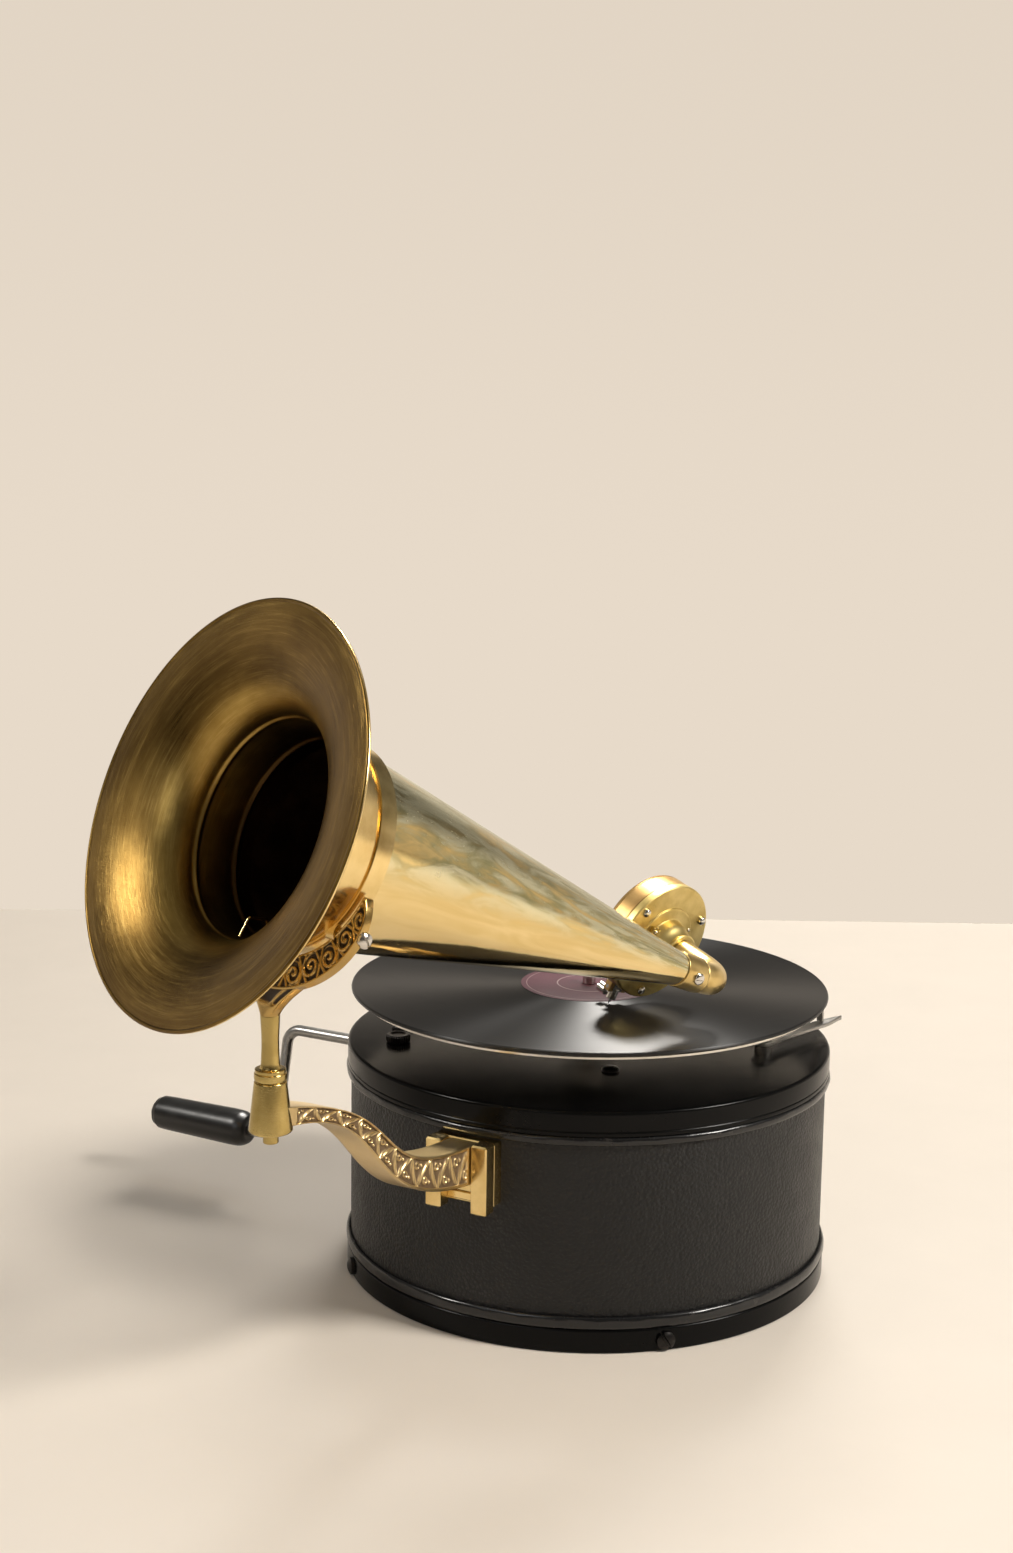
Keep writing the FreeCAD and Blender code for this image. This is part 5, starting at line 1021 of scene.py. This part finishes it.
phi = np.linspace(-np.pi + YOKE_TIP, -YOKE_TIP, 400)[:, None]
front_share = np.linspace(-1, 1, 42)[None]
back_share = np.linspace(1, -1, 8)[None]
half_depth = crescent_depth(phi) / 2
middle_run = (phi + np.pi / 2) * (YOKE_INNER_R + YOKE_DEPTH / 2) + 200 * SCROLL_PITCH
ornament = scrolls(middle_run, front_share, half_depth)
eased = 0.5 * smooth_step(np.abs(front_share), 0.93, 1.0)
front_out = YOKE_FRONT - SUNK * (1 - ornament) * smooth_step(half_depth, 0.7, 2.0) - eased
loop_share = np.concatenate([front_share, back_share], 1)
back_out = YOKE_BACK + 0.5 * smooth_step(np.abs(back_share), 0.8, 1.0) + 0 * phi
loop_out = np.concatenate([front_out, back_out], 1)
loop_reach = YOKE_INNER_R + (loop_share + 1) * half_depth
crescent = np.stack([loop_reach * np.cos(phi), loop_reach * np.sin(phi), loop_out], -1)
crescent_relief = np.concatenate([ornament, np.ones((len(phi), back_share.shape[1]))], 1)
print("crescent", round(float(2 * half_depth.max()), 1), "mm deep in the middle")

# %% [markdown]
# Below the crescent the casting narrows like a fan and turns round: its section is a superellipse whose
# power falls from nearly square to a plain ellipse. The stem with its shoulder ring is turned, and
# stands on the swivel axis.

# %% Fan, stem and the whole yoke
FAN_TOP_R = 55.5
FAN_HALF = 25.0
FAN_FOOT_Z = 206.5
STEM_R = 4.0
STEM_WAIST_R = 3.55
NECK_TOP_R = 4.2
SHOULDER_R = 6.9
SHOULDER_H = 5.3
PIN_R = 3.9
TAIL_R = 3.3
TAIL_H = 5.0
SOCKET_H = 22.0
fall = np.linspace(0, 1, 56)[:, None]
turn_by = np.linspace(0, 2 * np.pi, 72, endpoint=False)[None]
fan_half = NECK_TOP_R + (FAN_HALF - NECK_TOP_R) * (1 - fall) ** 1.35
fan_power = 2 / (9 - 7 * fall)
fan_x = fan_half * np.sign(np.cos(turn_by)) * np.abs(np.cos(turn_by)) ** fan_power
fan_thick = ((YOKE_FRONT - YOKE_BACK) / 2 - 0.12) * (1 - fall) + NECK_TOP_R * fall
fan_z = fan_thick * np.sign(np.sin(turn_by)) * np.abs(np.sin(turn_by)) ** fan_power
fan_groove = smooth_step(fan_half - np.abs(fan_x), 0.9, 1.9) * smooth_step(0.78 - fall, 0, 0.2) * (fan_z > 0)
fan_veins = smooth_step(np.cos(fan_x / fan_half * 15 + np.sign(fan_x) * fall * 7), -0.2, 0.8)
fan_z = fan_z - SUNK * 0.8 * fan_groove * (1 - 0.7 * fan_veins) + (1 - fall) * (YOKE_FRONT + YOKE_BACK) / 2
swivel = joint_spot("horn_swing")
SWIVEL = seat(swivel, UP, (1, 0, 0))
fan_from = HORN[3] - horn_up * FAN_TOP_R
fan_to = np.array([swivel[0], swivel[1], FAN_FOOT_Z])
fan_out = mouthward * (1 - fall) + level * fall
fan_points = ((fan_from * (1 - fall) + fan_to * fall)[:, None] + across * fan_x[..., None]
              + fan_out[:, None] * fan_z[..., None])
fan = grid(fan_points, ring=False, relief=1 - fan_groove * (1 - 0.7 * fan_veins))
ring_from = SOCKET_H + 0.05
ring_to = ring_from + SHOULDER_H
foot_up = FAN_FOOT_Z - swivel[2]
stem_profile = rounded([
    (0, -TAIL_H, 0), (TAIL_R, -TAIL_H, 0.6), (TAIL_R, 0, 0.1), (PIN_R, 0, 0.1), (PIN_R, ring_from, 0.1),
    (SHOULDER_R - 0.5, ring_from, 0.4), (SHOULDER_R, ring_from + 1.0, 0.5), (SHOULDER_R, ring_to - 1.9, 0.3),
    (SHOULDER_R - 0.5, ring_to - 1.5, 0.2), (SHOULDER_R - 0.3, ring_to, 0.5), (STEM_R + 0.5, ring_to, 0.3),
    (STEM_R, ring_to + 2, 1.0), (STEM_WAIST_R, (ring_to + foot_up) / 2, 5.0), (NECK_TOP_R, foot_up, 1.0),
    (NECK_TOP_R - 1.2, foot_up + 3.5, 0.8), (0, foot_up + 4, 0)])
stem = turned(stem_profile, SWIVEL, 72)
stem["skin"] = stem["skin"] + 1
piece("yoke_casting", [grid(put(crescent, HORN), ring=False, relief=crescent_relief), fan, stem],
      [chased_dark, olive_gilt], "yoke", ["yoke"])

# %% [markdown]
# Two slotted screws hold the horn between the yoke's arms. A screw's head is a low dome over a disc:
# its height falls towards the rim, and a straight slot across the middle is cut out of that height.

# %% Pivot screws
PIVOT_REACH = 50.4
PIVOT_HEAD_R = 3.2
PIVOT_HEAD_H = 2.4
PIVOT_SLOT_W = 0.8
PIVOT_SHANK_R = 2.0
PIVOT_SHANK_L = 12.0


def slotted_head(where, radius, height, slot):
    """Rings from the foot over the rim to the crown, which is h (1 - 0.45 q q) high, less the slot."""
    reach = np.concatenate([[0, radius, radius], np.linspace(radius, 0, 16)])[:, None]
    angle = np.linspace(0, 2 * np.pi, 72, endpoint=False)[None]
    x, y = reach * np.cos(angle), reach * np.sin(angle)
    in_slot = smooth_step(slot / 2 - np.abs(y), -0.05, 0.1)
    up = height * (1 - 0.45 * (reach / radius) ** 2) - 0.5 * height * in_slot
    up[:2] = 0
    return grid(put(np.stack([x, y, up], -1), where))


heads = []
for side in (across, -across):
    head_seat = seat(joint_spot("horn_tilt") + side * PIVOT_REACH, side, UP + 0.6 * mouthward)
    shank_seat = seat(head_seat[3] - side * PIVOT_SHANK_L, side, UP)
    shank = rounded([(0, 0, 0), (PIVOT_SHANK_R, 0, 0.3), (PIVOT_SHANK_R, PIVOT_SHANK_L + 0.3, 0.1),
                     (0, PIVOT_SHANK_L + 0.3, 0)])
    heads += [slotted_head(head_seat, PIVOT_HEAD_R, PIVOT_HEAD_H, PIVOT_SLOT_W),
              turned(shank, shank_seat, 32)]
piece("pivot_heads", heads, [nickel], "yoke", ["pivot_screws"])

# %% [markdown]
# The base is held to the drum by four blackened screws in the band, a quarter turn apart. They repeat
# the same slotted head, each turned a little differently, as screws end up when they are driven home by
# hand.

# %% Base screws
BASE_SCREW_R = 4.7
BASE_SCREW_H = 3.2
BASE_SLOT_W = 1.1
BASE_SCREW_Z = 5.4
base_heads = []
for turn, slot_lean in ((-45, 0.5), (45, 1.4), (135, -0.3), (225, 0.9)):
    out = np.array([math.cos(math.radians(turn)), math.sin(math.radians(turn)), 0.0])
    lean = np.cross(out, UP) * math.sin(slot_lean) + UP * math.cos(slot_lean)
    screw_seat = seat(out * (band_r - 0.3) + UP * BASE_SCREW_Z, out, lean)
    base_heads.append(slotted_head(screw_seat, BASE_SCREW_R, BASE_SCREW_H, BASE_SLOT_W))
piece("band_screws", base_heads, [black_steel], "case", ["base_screws"])

# %% [markdown]
# The arm that carries the horn is a cast S. Seen from the side it lies between two Bezier curves; its
# top and its underside are plain, and both flanks are chased with leaves that lean to alternate sides
# between raised borders. The leaf is a ridge along a slanted line in each cell, cut by fine veins, with
# a bead and a curl in the corners.

# %% Arm
ARM_W = 16.0
ARM_TAIL = (104.0, 83.4)
ARM_HEAD_UP = 2.6
ARM_HEAD_T = 9.1
TOP_HANDLES = ((102.6, 3.7), (108.2, 12.8))
BOTTOM_HANDLES = ((110.0, 7.1), (88.4, 7.1))
LEAF_PITCH = 9.4
ARM_SUNK = 1.3
tail_y = -133.02


def arm_edge(tail, head, handles, count=520):
    """A cubic Bezier from the tail to the head; each handle is a length and a slope in degrees."""
    (near, near_slope), (far, far_slope) = handles
    lean = np.radians([near_slope, far_slope])
    start, end = np.array([tail_y, tail]), np.array([swivel[1], head])
    leave = start + near * np.array([-np.cos(lean[0]), np.sin(lean[0])])
    arrive = end - far * np.array([-np.cos(lean[1]), np.sin(lean[1])])
    t = np.linspace(0, 1, count)[:, None]
    return (1 - t) ** 3 * start + 3 * t * (1 - t) ** 2 * leave + 3 * t ** 2 * (1 - t) * arrive + t ** 3 * end


def leaves(run, share):
    """Borders, slanted veined leaves and corner beads, as a height from 0 to 1."""
    cell = np.floor(run / LEAF_PITCH)
    hand = np.where(cell % 2 == 0, 1.0, -1.0)
    f = run / LEAF_PITCH - cell - 0.5
    up = share * hand / 0.78
    off = f - 0.42 * up + 0.16 * up ** 2 - 0.06
    leaf = np.exp(-(off / (0.24 * np.clip(1.05 - 0.55 * up ** 2, 0.2, 1))) ** 2)
    veins = 0.72 + 0.28 * np.cos(2 * np.pi * (off * 4.2 + up * 0.8))
    bead = np.exp(-(((f - 0.30) * LEAF_PITCH) ** 2 + ((up + 0.58) * 6.0) ** 2) / 0.9)
    curl = np.exp(-((np.hypot((f + 0.28) * LEAF_PITCH, (up - 0.50) * 6.0) - 1.5) / 0.5) ** 2)
    border = smooth_step(np.abs(share), 0.78, 0.84)
    return np.clip(np.maximum(border, np.maximum(leaf * veins, np.maximum(bead, 0.85 * curl))), 0, 1)


top_edge = arm_edge(ARM_TAIL[0], swivel[2] + ARM_HEAD_UP + ARM_HEAD_T, TOP_HANDLES)
bottom_edge = arm_edge(ARM_TAIL[1], swivel[2] + ARM_HEAD_UP, BOTTOM_HANDLES)
middle = (top_edge + bottom_edge) / 2
arm_run = np.concatenate([[0], np.cumsum(np.linalg.norm(np.diff(middle, axis=0), axis=1))])[:, None]
flank = np.linspace(-1, 1, 46)[None]
flat = np.linspace(-1, 1, 10)[None, 1:-1]
cut_here = smooth_step(arm_run, 9, 12) * smooth_step(arm_run[-1] - arm_run, 8, 10)
chasing = 1 - cut_here * (1 - leaves(arm_run, flank))
half_wide = ARM_W / 2 - ARM_SUNK * (1 - chasing) - 0.9 * smooth_step(np.abs(flank), 0.90, 1.0) ** 2
plain = (ARM_W / 2 - 0.9) * flat + 0 * arm_run
flank_up = (flank + 1) / 2 + 0 * arm_run
arm_x = np.concatenate([half_wide, -plain, -half_wide[:, ::-1], plain], 1)
arm_up = np.concatenate([flank_up, 1 + 0 * plain, flank_up[:, ::-1], 0 * plain], 1)[..., None]
arm_rows = bottom_edge[:, None] * (1 - arm_up) + top_edge[:, None] * arm_up
arm_points = np.concatenate([arm_x[..., None], arm_rows], -1)
arm_relief = np.concatenate([chasing, 1 + 0 * plain, chasing[:, ::-1], 1 + 0 * plain], 1)
socket_profile = rounded([
    (PIN_R + 0.15, 0, 0.2), (8.6, 0, 0.4), (9.3, 0.8, 0.4), (6.9, SOCKET_H - 0.3, 0.4), (6.5, SOCKET_H, 0.2),
    (PIN_R + 0.15, SOCKET_H, 0.3)])
arm_grid = grid(arm_points, ring=False, relief=arm_relief)
piece("arm_casting", [arm_grid], [chased_brass], "case", ["horn_arm"])
piece("arm_socket", [turned(socket_profile, SWIVEL, 72)], [olive_gilt], "case", ["horn_arm"])

# %% [markdown]
# The bracket is a flat casting screwed to the wall from inside, with two upright bars that grip the
# arm's tail. Its edges were filed, so every block here has a bevel that catches light.

# %% Bracket
grip_low, grip_high = node_span("bracket_plate")
GRIP_SLOT = ARM_W / 2 + 0.35
PLATE_BACK_Y = -124.0
RIB_FROM, RIB_TO = 4.0, 8.0
slot_y = tail_y + 0.02
plate_block = block((grip_low[0], slot_y, grip_low[2] + 2.5),
                    (grip_high[0], PLATE_BACK_Y, grip_high[2] - 0.5), CASE, 0.6, 0.7)
bars = [block((low_x, grip_low[1], grip_low[2]), (high_x, slot_y + 0.5, grip_high[2]), CASE, 0.9, 0.8)
        for low_x, high_x in ((grip_low[0], -GRIP_SLOT), (GRIP_SLOT, grip_high[0]))]
rib = block((-GRIP_SLOT, slot_y - 1.2, grip_low[2] + RIB_FROM),
            (GRIP_SLOT, slot_y + 0.5, grip_low[2] + RIB_TO), CASE, 0.4, 0.4)
piece("bracket_casting", [plate_block, *bars, rib], [pale_gilt], "case", ["bracket_plate"])

# %% [markdown]
# The winding crank is one steel rod bent twice, and a black wooden grip that spins on its end. The rod
# follows straight runs and arcs in one plane. The grip is a profile of a slightly waisted barrel with a
# domed end.

# %% Crank and grip
CRANK_R = 3.2
CRANK_BEND_R = 8.0
CRANK_IN_X = -63.0
GRIP_L = 68.0
GRIP_BORE_L = 56.0
GRIP_GAP = 18.5
first_bend = joint_spot("crank_turn")
grip_from = joint_spot("handle_spin")
second_bend = grip_from + np.array([GRIP_GAP, 0, 0])
outward = np.array([-1.0, 0, 0])
crank_course = course_of([np.array([CRANK_IN_X, 0, first_bend[2]]), first_bend, second_bend,
                          grip_from + outward * (GRIP_BORE_L - 0.4)], CRANK_BEND_R, 20)
crank_plane = np.cross(outward, second_bend - first_bend)
crank_grid = rod_along(crank_course, CRANK_R, crank_plane, 36)
piece("crank_bar", [crank_grid], [steel_rod], "crank", ["crank_rod"])
GRIP = seat(grip_from, outward, UP)
grip_profile = rounded([
    (CRANK_R + 0.1, GRIP_BORE_L, 0.2), (CRANK_R + 0.1, 0, 0.3), (6.4, 0, 0.6), (8.2, 0.8, 0.8),
    (10.4, 4.6, 2.6), (10.7, 12, 3.0), (10.2, 40, 12.0), (10.0, 58, 5.0), (9.6, 65, 4.2),
    (6.2, GRIP_L - 0.2, 2.6), (0, GRIP_L, 0), (0, GRIP_BORE_L, 0)])
piece("crank_grip", [turned(grip_profile, GRIP, 96)], [waxed_wood], "handle", ["crank_handle"])

# %% [markdown]
# The speed knob on the lid is a knurled button of blackened steel. Its ripples are a wobble added to
# the turned profile, like the waver of the case.

# %% Speed knob
KNURLS = 30
KNOB_DISH = 0.7
knob_axis = joint_spot("regulator_turn")
knob_low, knob_high = node_span("speed_knob")
KNOB = seat((knob_axis[0], knob_axis[1], 0), UP, (1, 0, 0))
KNOB_R = 6.5
KNOB_H = 4.0
knob_foot = knob_high[2] - KNOB_H


def knurled(angle, height, radius):
    """A ripple of the rim, KNURLS times round, on the outermost radius only."""
    return (radius > KNOB_R - 0.5) * 0.28 * (np.cos(KNURLS * angle) - 1)


knob_profile = rounded([
    (0, knob_low[2], 0), (2.45, knob_low[2], 0.3), (2.45, knob_foot, 0.1), (KNOB_R - 0.6, knob_foot, 0.3),
    (KNOB_R, knob_foot + 0.6, 0.2), (KNOB_R, knob_high[2] - 0.8, 0.3), (KNOB_R - 0.8, knob_high[2], 0.3),
    (4.2, knob_high[2] - 0.1, 0.5), (3.4, knob_high[2] - KNOB_DISH, 0.5), (0, knob_high[2] - KNOB_DISH, 0)])
piece("speed_button", [turned(knob_profile, KNOB, 240, knurled)], [black_steel], "regulator",
      ["speed_knob"])

# %% [markdown]
# The brake is a flat lever on a post, with a pointed end to push and a turned-up tab that carries the
# leather pad. Lever and tab are one piece of steel, and the pad is a piece of its own.

# %% Brake
LEVER_T = 2.2
EYE_R = 5.5
POINT_L = 16.0
TAB_W = 10.0
TAB_T = 1.2
TAB_TOP = 148.8
PAD_T = 1.8
PAD_H = 5.5
PAD_GAP = 2.8
lever_pivot = joint_spot("brake_swing")
pad_low, pad_high = node_span("brake_pad")
lever_low = node_span("brake_lever")[0]
LEVER_TIP = np.array([111.0, 90.0])
lever_dir = np.append(LEVER_TIP - lever_pivot[:2], 0)
lever_reach = np.linalg.norm(lever_dir)
LEVER = seat((lever_pivot[0], lever_pivot[1], lever_low[2]), UP, lever_dir)
lever_outline = rounded([
    (-EYE_R, -EYE_R, 4.6), (EYE_R, -EYE_R, 3.0), (12, -3.9, 3.0), (lever_reach - POINT_L, -3.6, 3.0),
    (lever_reach - 0.4, 0, 1.2), (lever_reach - POINT_L, 3.6, 3.0), (12, 3.9, 3.0), (EYE_R, EYE_R, 3.0),
    (-EYE_R, EYE_R, 4.6)])
pad_middle = (pad_low + pad_high) / 2
pad_inward = np.array([-pad_middle[0], -pad_middle[1], 0.0])
TAB = seat((pad_middle[0], pad_middle[1], 0), UP, pad_inward)
pad_face = np.linalg.norm(pad_inward) - pan_r - PAD_GAP
pad_back = pad_face - PAD_T
tab = block((pad_back - TAB_T, -TAB_W / 2, lever_low[2]), (pad_back, TAB_W / 2, TAB_TOP), TAB, 0.3, 0.3)
pad = block((pad_back - 0.02, -TAB_W / 2, TAB_TOP - PAD_H),
            (pad_face, TAB_W / 2, TAB_TOP - 0.2), TAB, 0.4, 0.4)
lever = slab(lever_outline, 0, LEVER_T, LEVER, 0.45)
piece("brake_arm", [lever, tab], [steel_rod], "brake", ["brake_lever"])
piece("brake_hide_pad", [pad], [brake_hide], "brake", ["brake_pad"])

# %% [markdown]
# A bent wire in the horn's throat is the spring that keeps the bell from rattling on its collar. It is
# drawn as five corners in the horn's own frame and bent like the crank.

# %% Throat spring
CLIP_R = 0.7
clip_corners = np.array([[0, -45.4, 22.0], [0, -37.0, 20.5], [0, -35.5, 12.0], [0, -40.0, 8.0],
                         [0, -42.6, 0.5]])
clip_course = course_of(put(clip_corners, HORN), 1.4, 8)
piece("throat_spring", [rod_along(clip_course, CLIP_R, HORN[0], 14)], [pale_gilt], "horn")

# %% [markdown]
# The set is a plain pale floor that ends in front of a pale wall. The wall is only the colour of the
# world as the camera and reflections see it; it gives way to a dim ceiling above and a dim room behind
# the camera, so that black stays black and metal has something to mirror. Diffuse light from the world
# stays low and even.

# %% Floor and world
FLOOR_FAR = 0.794
FLOOR_REACH = 4.0
VIEW_HEADING = math.radians(118.6)


def floor_finish():
    """Plain pale card with a faint cloudiness."""
    material, start = new_finish("pale_floor")
    clouds = grain(place_of(start), 14.0, 3.0)
    pale = shade(clouds, colour(0.78, 0.705, 0.615), colour(0.83, 0.75, 0.655))
    return dress(material, {"Base Color": pale, "Roughness": 0.62, "Specular IOR Level": 0.25})


floor_dir = np.array([math.cos(VIEW_HEADING), math.sin(VIEW_HEADING), 0.0])
floor_side = np.array([floor_dir[1], -floor_dir[0], 0.0])
floor_far = np.array([[-FLOOR_REACH], [-FLOOR_REACH], [FLOOR_FAR], [FLOOR_FAR]])
floor_aside = np.array([[-FLOOR_REACH], [FLOOR_REACH], [FLOOR_REACH], [-FLOOR_REACH]])
floor_corners = floor_dir * floor_far + floor_side * floor_aside
floor_corners[:, 2] = -0.0002
floor_mesh = bpy.data.meshes.new("floor")
floor_mesh.from_pydata(floor_corners.tolist(), [], [[0, 1, 2, 3]])
floor_mesh.materials.append(floor_finish())
floor = bpy.data.objects.new("floor", floor_mesh)
bpy.context.collection.objects.link(floor)

world = bpy.data.worlds.new("studio")
bpy.context.scene.world = world
world.use_nodes = True
world.node_tree.nodes.clear()
sky = Wire(world.node_tree)
heading = sky.node("ShaderNodeTexCoord", out="Generated")
towards_wall = heading.node("ShaderNodeVectorMath", {"operation": "DOT_PRODUCT"},
                            {0: heading, 1: tuple(floor_dir)}, out="Value")
up_part = part_of(heading, "Z")
wall_colour = shade(step(up_part, -0.1, 0.2), colour(0.80, 0.70, 0.585), colour(0.76, 0.665, 0.555))
room_colour = shade(step(up_part, -0.2, 0.2), colour(0.22, 0.18, 0.135), colour(0.10, 0.085, 0.07))
ceiling = shade(step(up_part, 0.35, 1.0), colour(0.045, 0.042, 0.036), colour(0.20, 0.19, 0.165))
around = shade(step(towards_wall, -0.35, 0.45), room_colour, wall_colour)
seen = shade(step(up_part, 0.195, 0.30), around, ceiling)
rays = [sky.node("ShaderNodeLightPath", out=f"Is {kind} Ray")
        for kind in ("Camera", "Glossy", "Transmission")]
seen_ray = (rays[0] + rays[1] + rays[2]).maths("MINIMUM", 1.0)
light = shade(seen_ray, colour(0.26, 0.245, 0.225), seen)
glow = sky.node("ShaderNodeBackground", sockets={"Color": light, "Strength": 1.0})
sky.node("ShaderNodeOutputWorld", sockets={"Surface": glow})
print("floor ends", FLOOR_FAR, "m behind the axis")

# %% [markdown]
# One large soft lamp high on the right throws the soft shadow to the left. A weak one in front opens
# the shadows, and one behind washes over the floor. Two more only show in polished surfaces: one high
# behind the machine draws the fan of light on the record, and one on the left puts a glint low in the
# bell. The camera stands where the photograph was taken, with a 50 mm lens.

# %% Lamps and camera
def stand(where):
    """The matrix of an object that stands in a local frame: the axes as columns, then the origin."""
    return Matrix(np.vstack([np.column_stack([where[:3].T, where[3]]), [0, 0, 0, 1]]).tolist())


def lamp(name, spot, target, size, watts, tint=(1.0, 0.96, 0.90), glints=True, lights=True):
    """An area lamp at a spot, aimed at a target, in metres; it shows in polish, on dull surfaces, or both."""
    data = bpy.data.lights.new(name, "AREA")
    data.shape = "RECTANGLE"
    data.size, data.size_y = size
    data.energy = watts
    data.color = tint
    thing = bpy.data.objects.new(name, data)
    back = np.asarray(spot) - np.asarray(target)
    thing.matrix_world = stand(seat(spot, back, np.cross(UP, back)))
    thing.visible_diffuse = lights
    thing.visible_glossy = glints
    bpy.context.collection.objects.link(thing)


lamp("window", (2.5, 0.25, 2.05), (0, -0.1, 0.15), (0.8, 0.8), 98)
lamp("back_wash", (-0.55, 1.85, 1.5), (0, -0.1, 0.15), (0.9, 0.6), 22, glints=False)
lamp("record_glint", (-0.30, 1.07, 2.10), (0, 0, 0.15), (0.5, 0.5), 105, lights=False)
lamp("bell_glint", (-1.40, -1.34, 1.66), (-0.06, -0.31, 0.25), (0.35, 0.35), 26, lights=False)
lamp("fill", (-0.2, -2.4, 1.3), (0, -0.1, 0.2), (1.2, 0.9), 7, (0.95, 0.97, 1.0))

CAMERA_SPOT = (0.5004, -1.0045, 0.4539)
CAMERA_AHEAD = np.array([-0.4753, 0.8638, -0.1672])
CAMERA_ROLL = math.radians(0.799)
CAMERA_LENS = 50.0
CAMERA_SENSOR = 36.0
camera_level = seat(CAMERA_SPOT, -CAMERA_AHEAD, np.cross(CAMERA_AHEAD, UP))
camera_right = camera_level[0] * math.cos(CAMERA_ROLL) + camera_level[1] * math.sin(CAMERA_ROLL)
camera_seat = seat(CAMERA_SPOT, -CAMERA_AHEAD, camera_right)
camera_data = bpy.data.cameras.new("camera")
camera_data.lens = CAMERA_LENS
camera_data.sensor_width = CAMERA_SENSOR
camera = bpy.data.objects.new("camera", camera_data)
camera.matrix_world = stand(camera_seat)
bpy.context.collection.objects.link(camera)
bpy.context.scene.camera = camera
bpy.context.scene.view_settings.view_transform = "Standard"
print("camera at", CAMERA_SPOT)
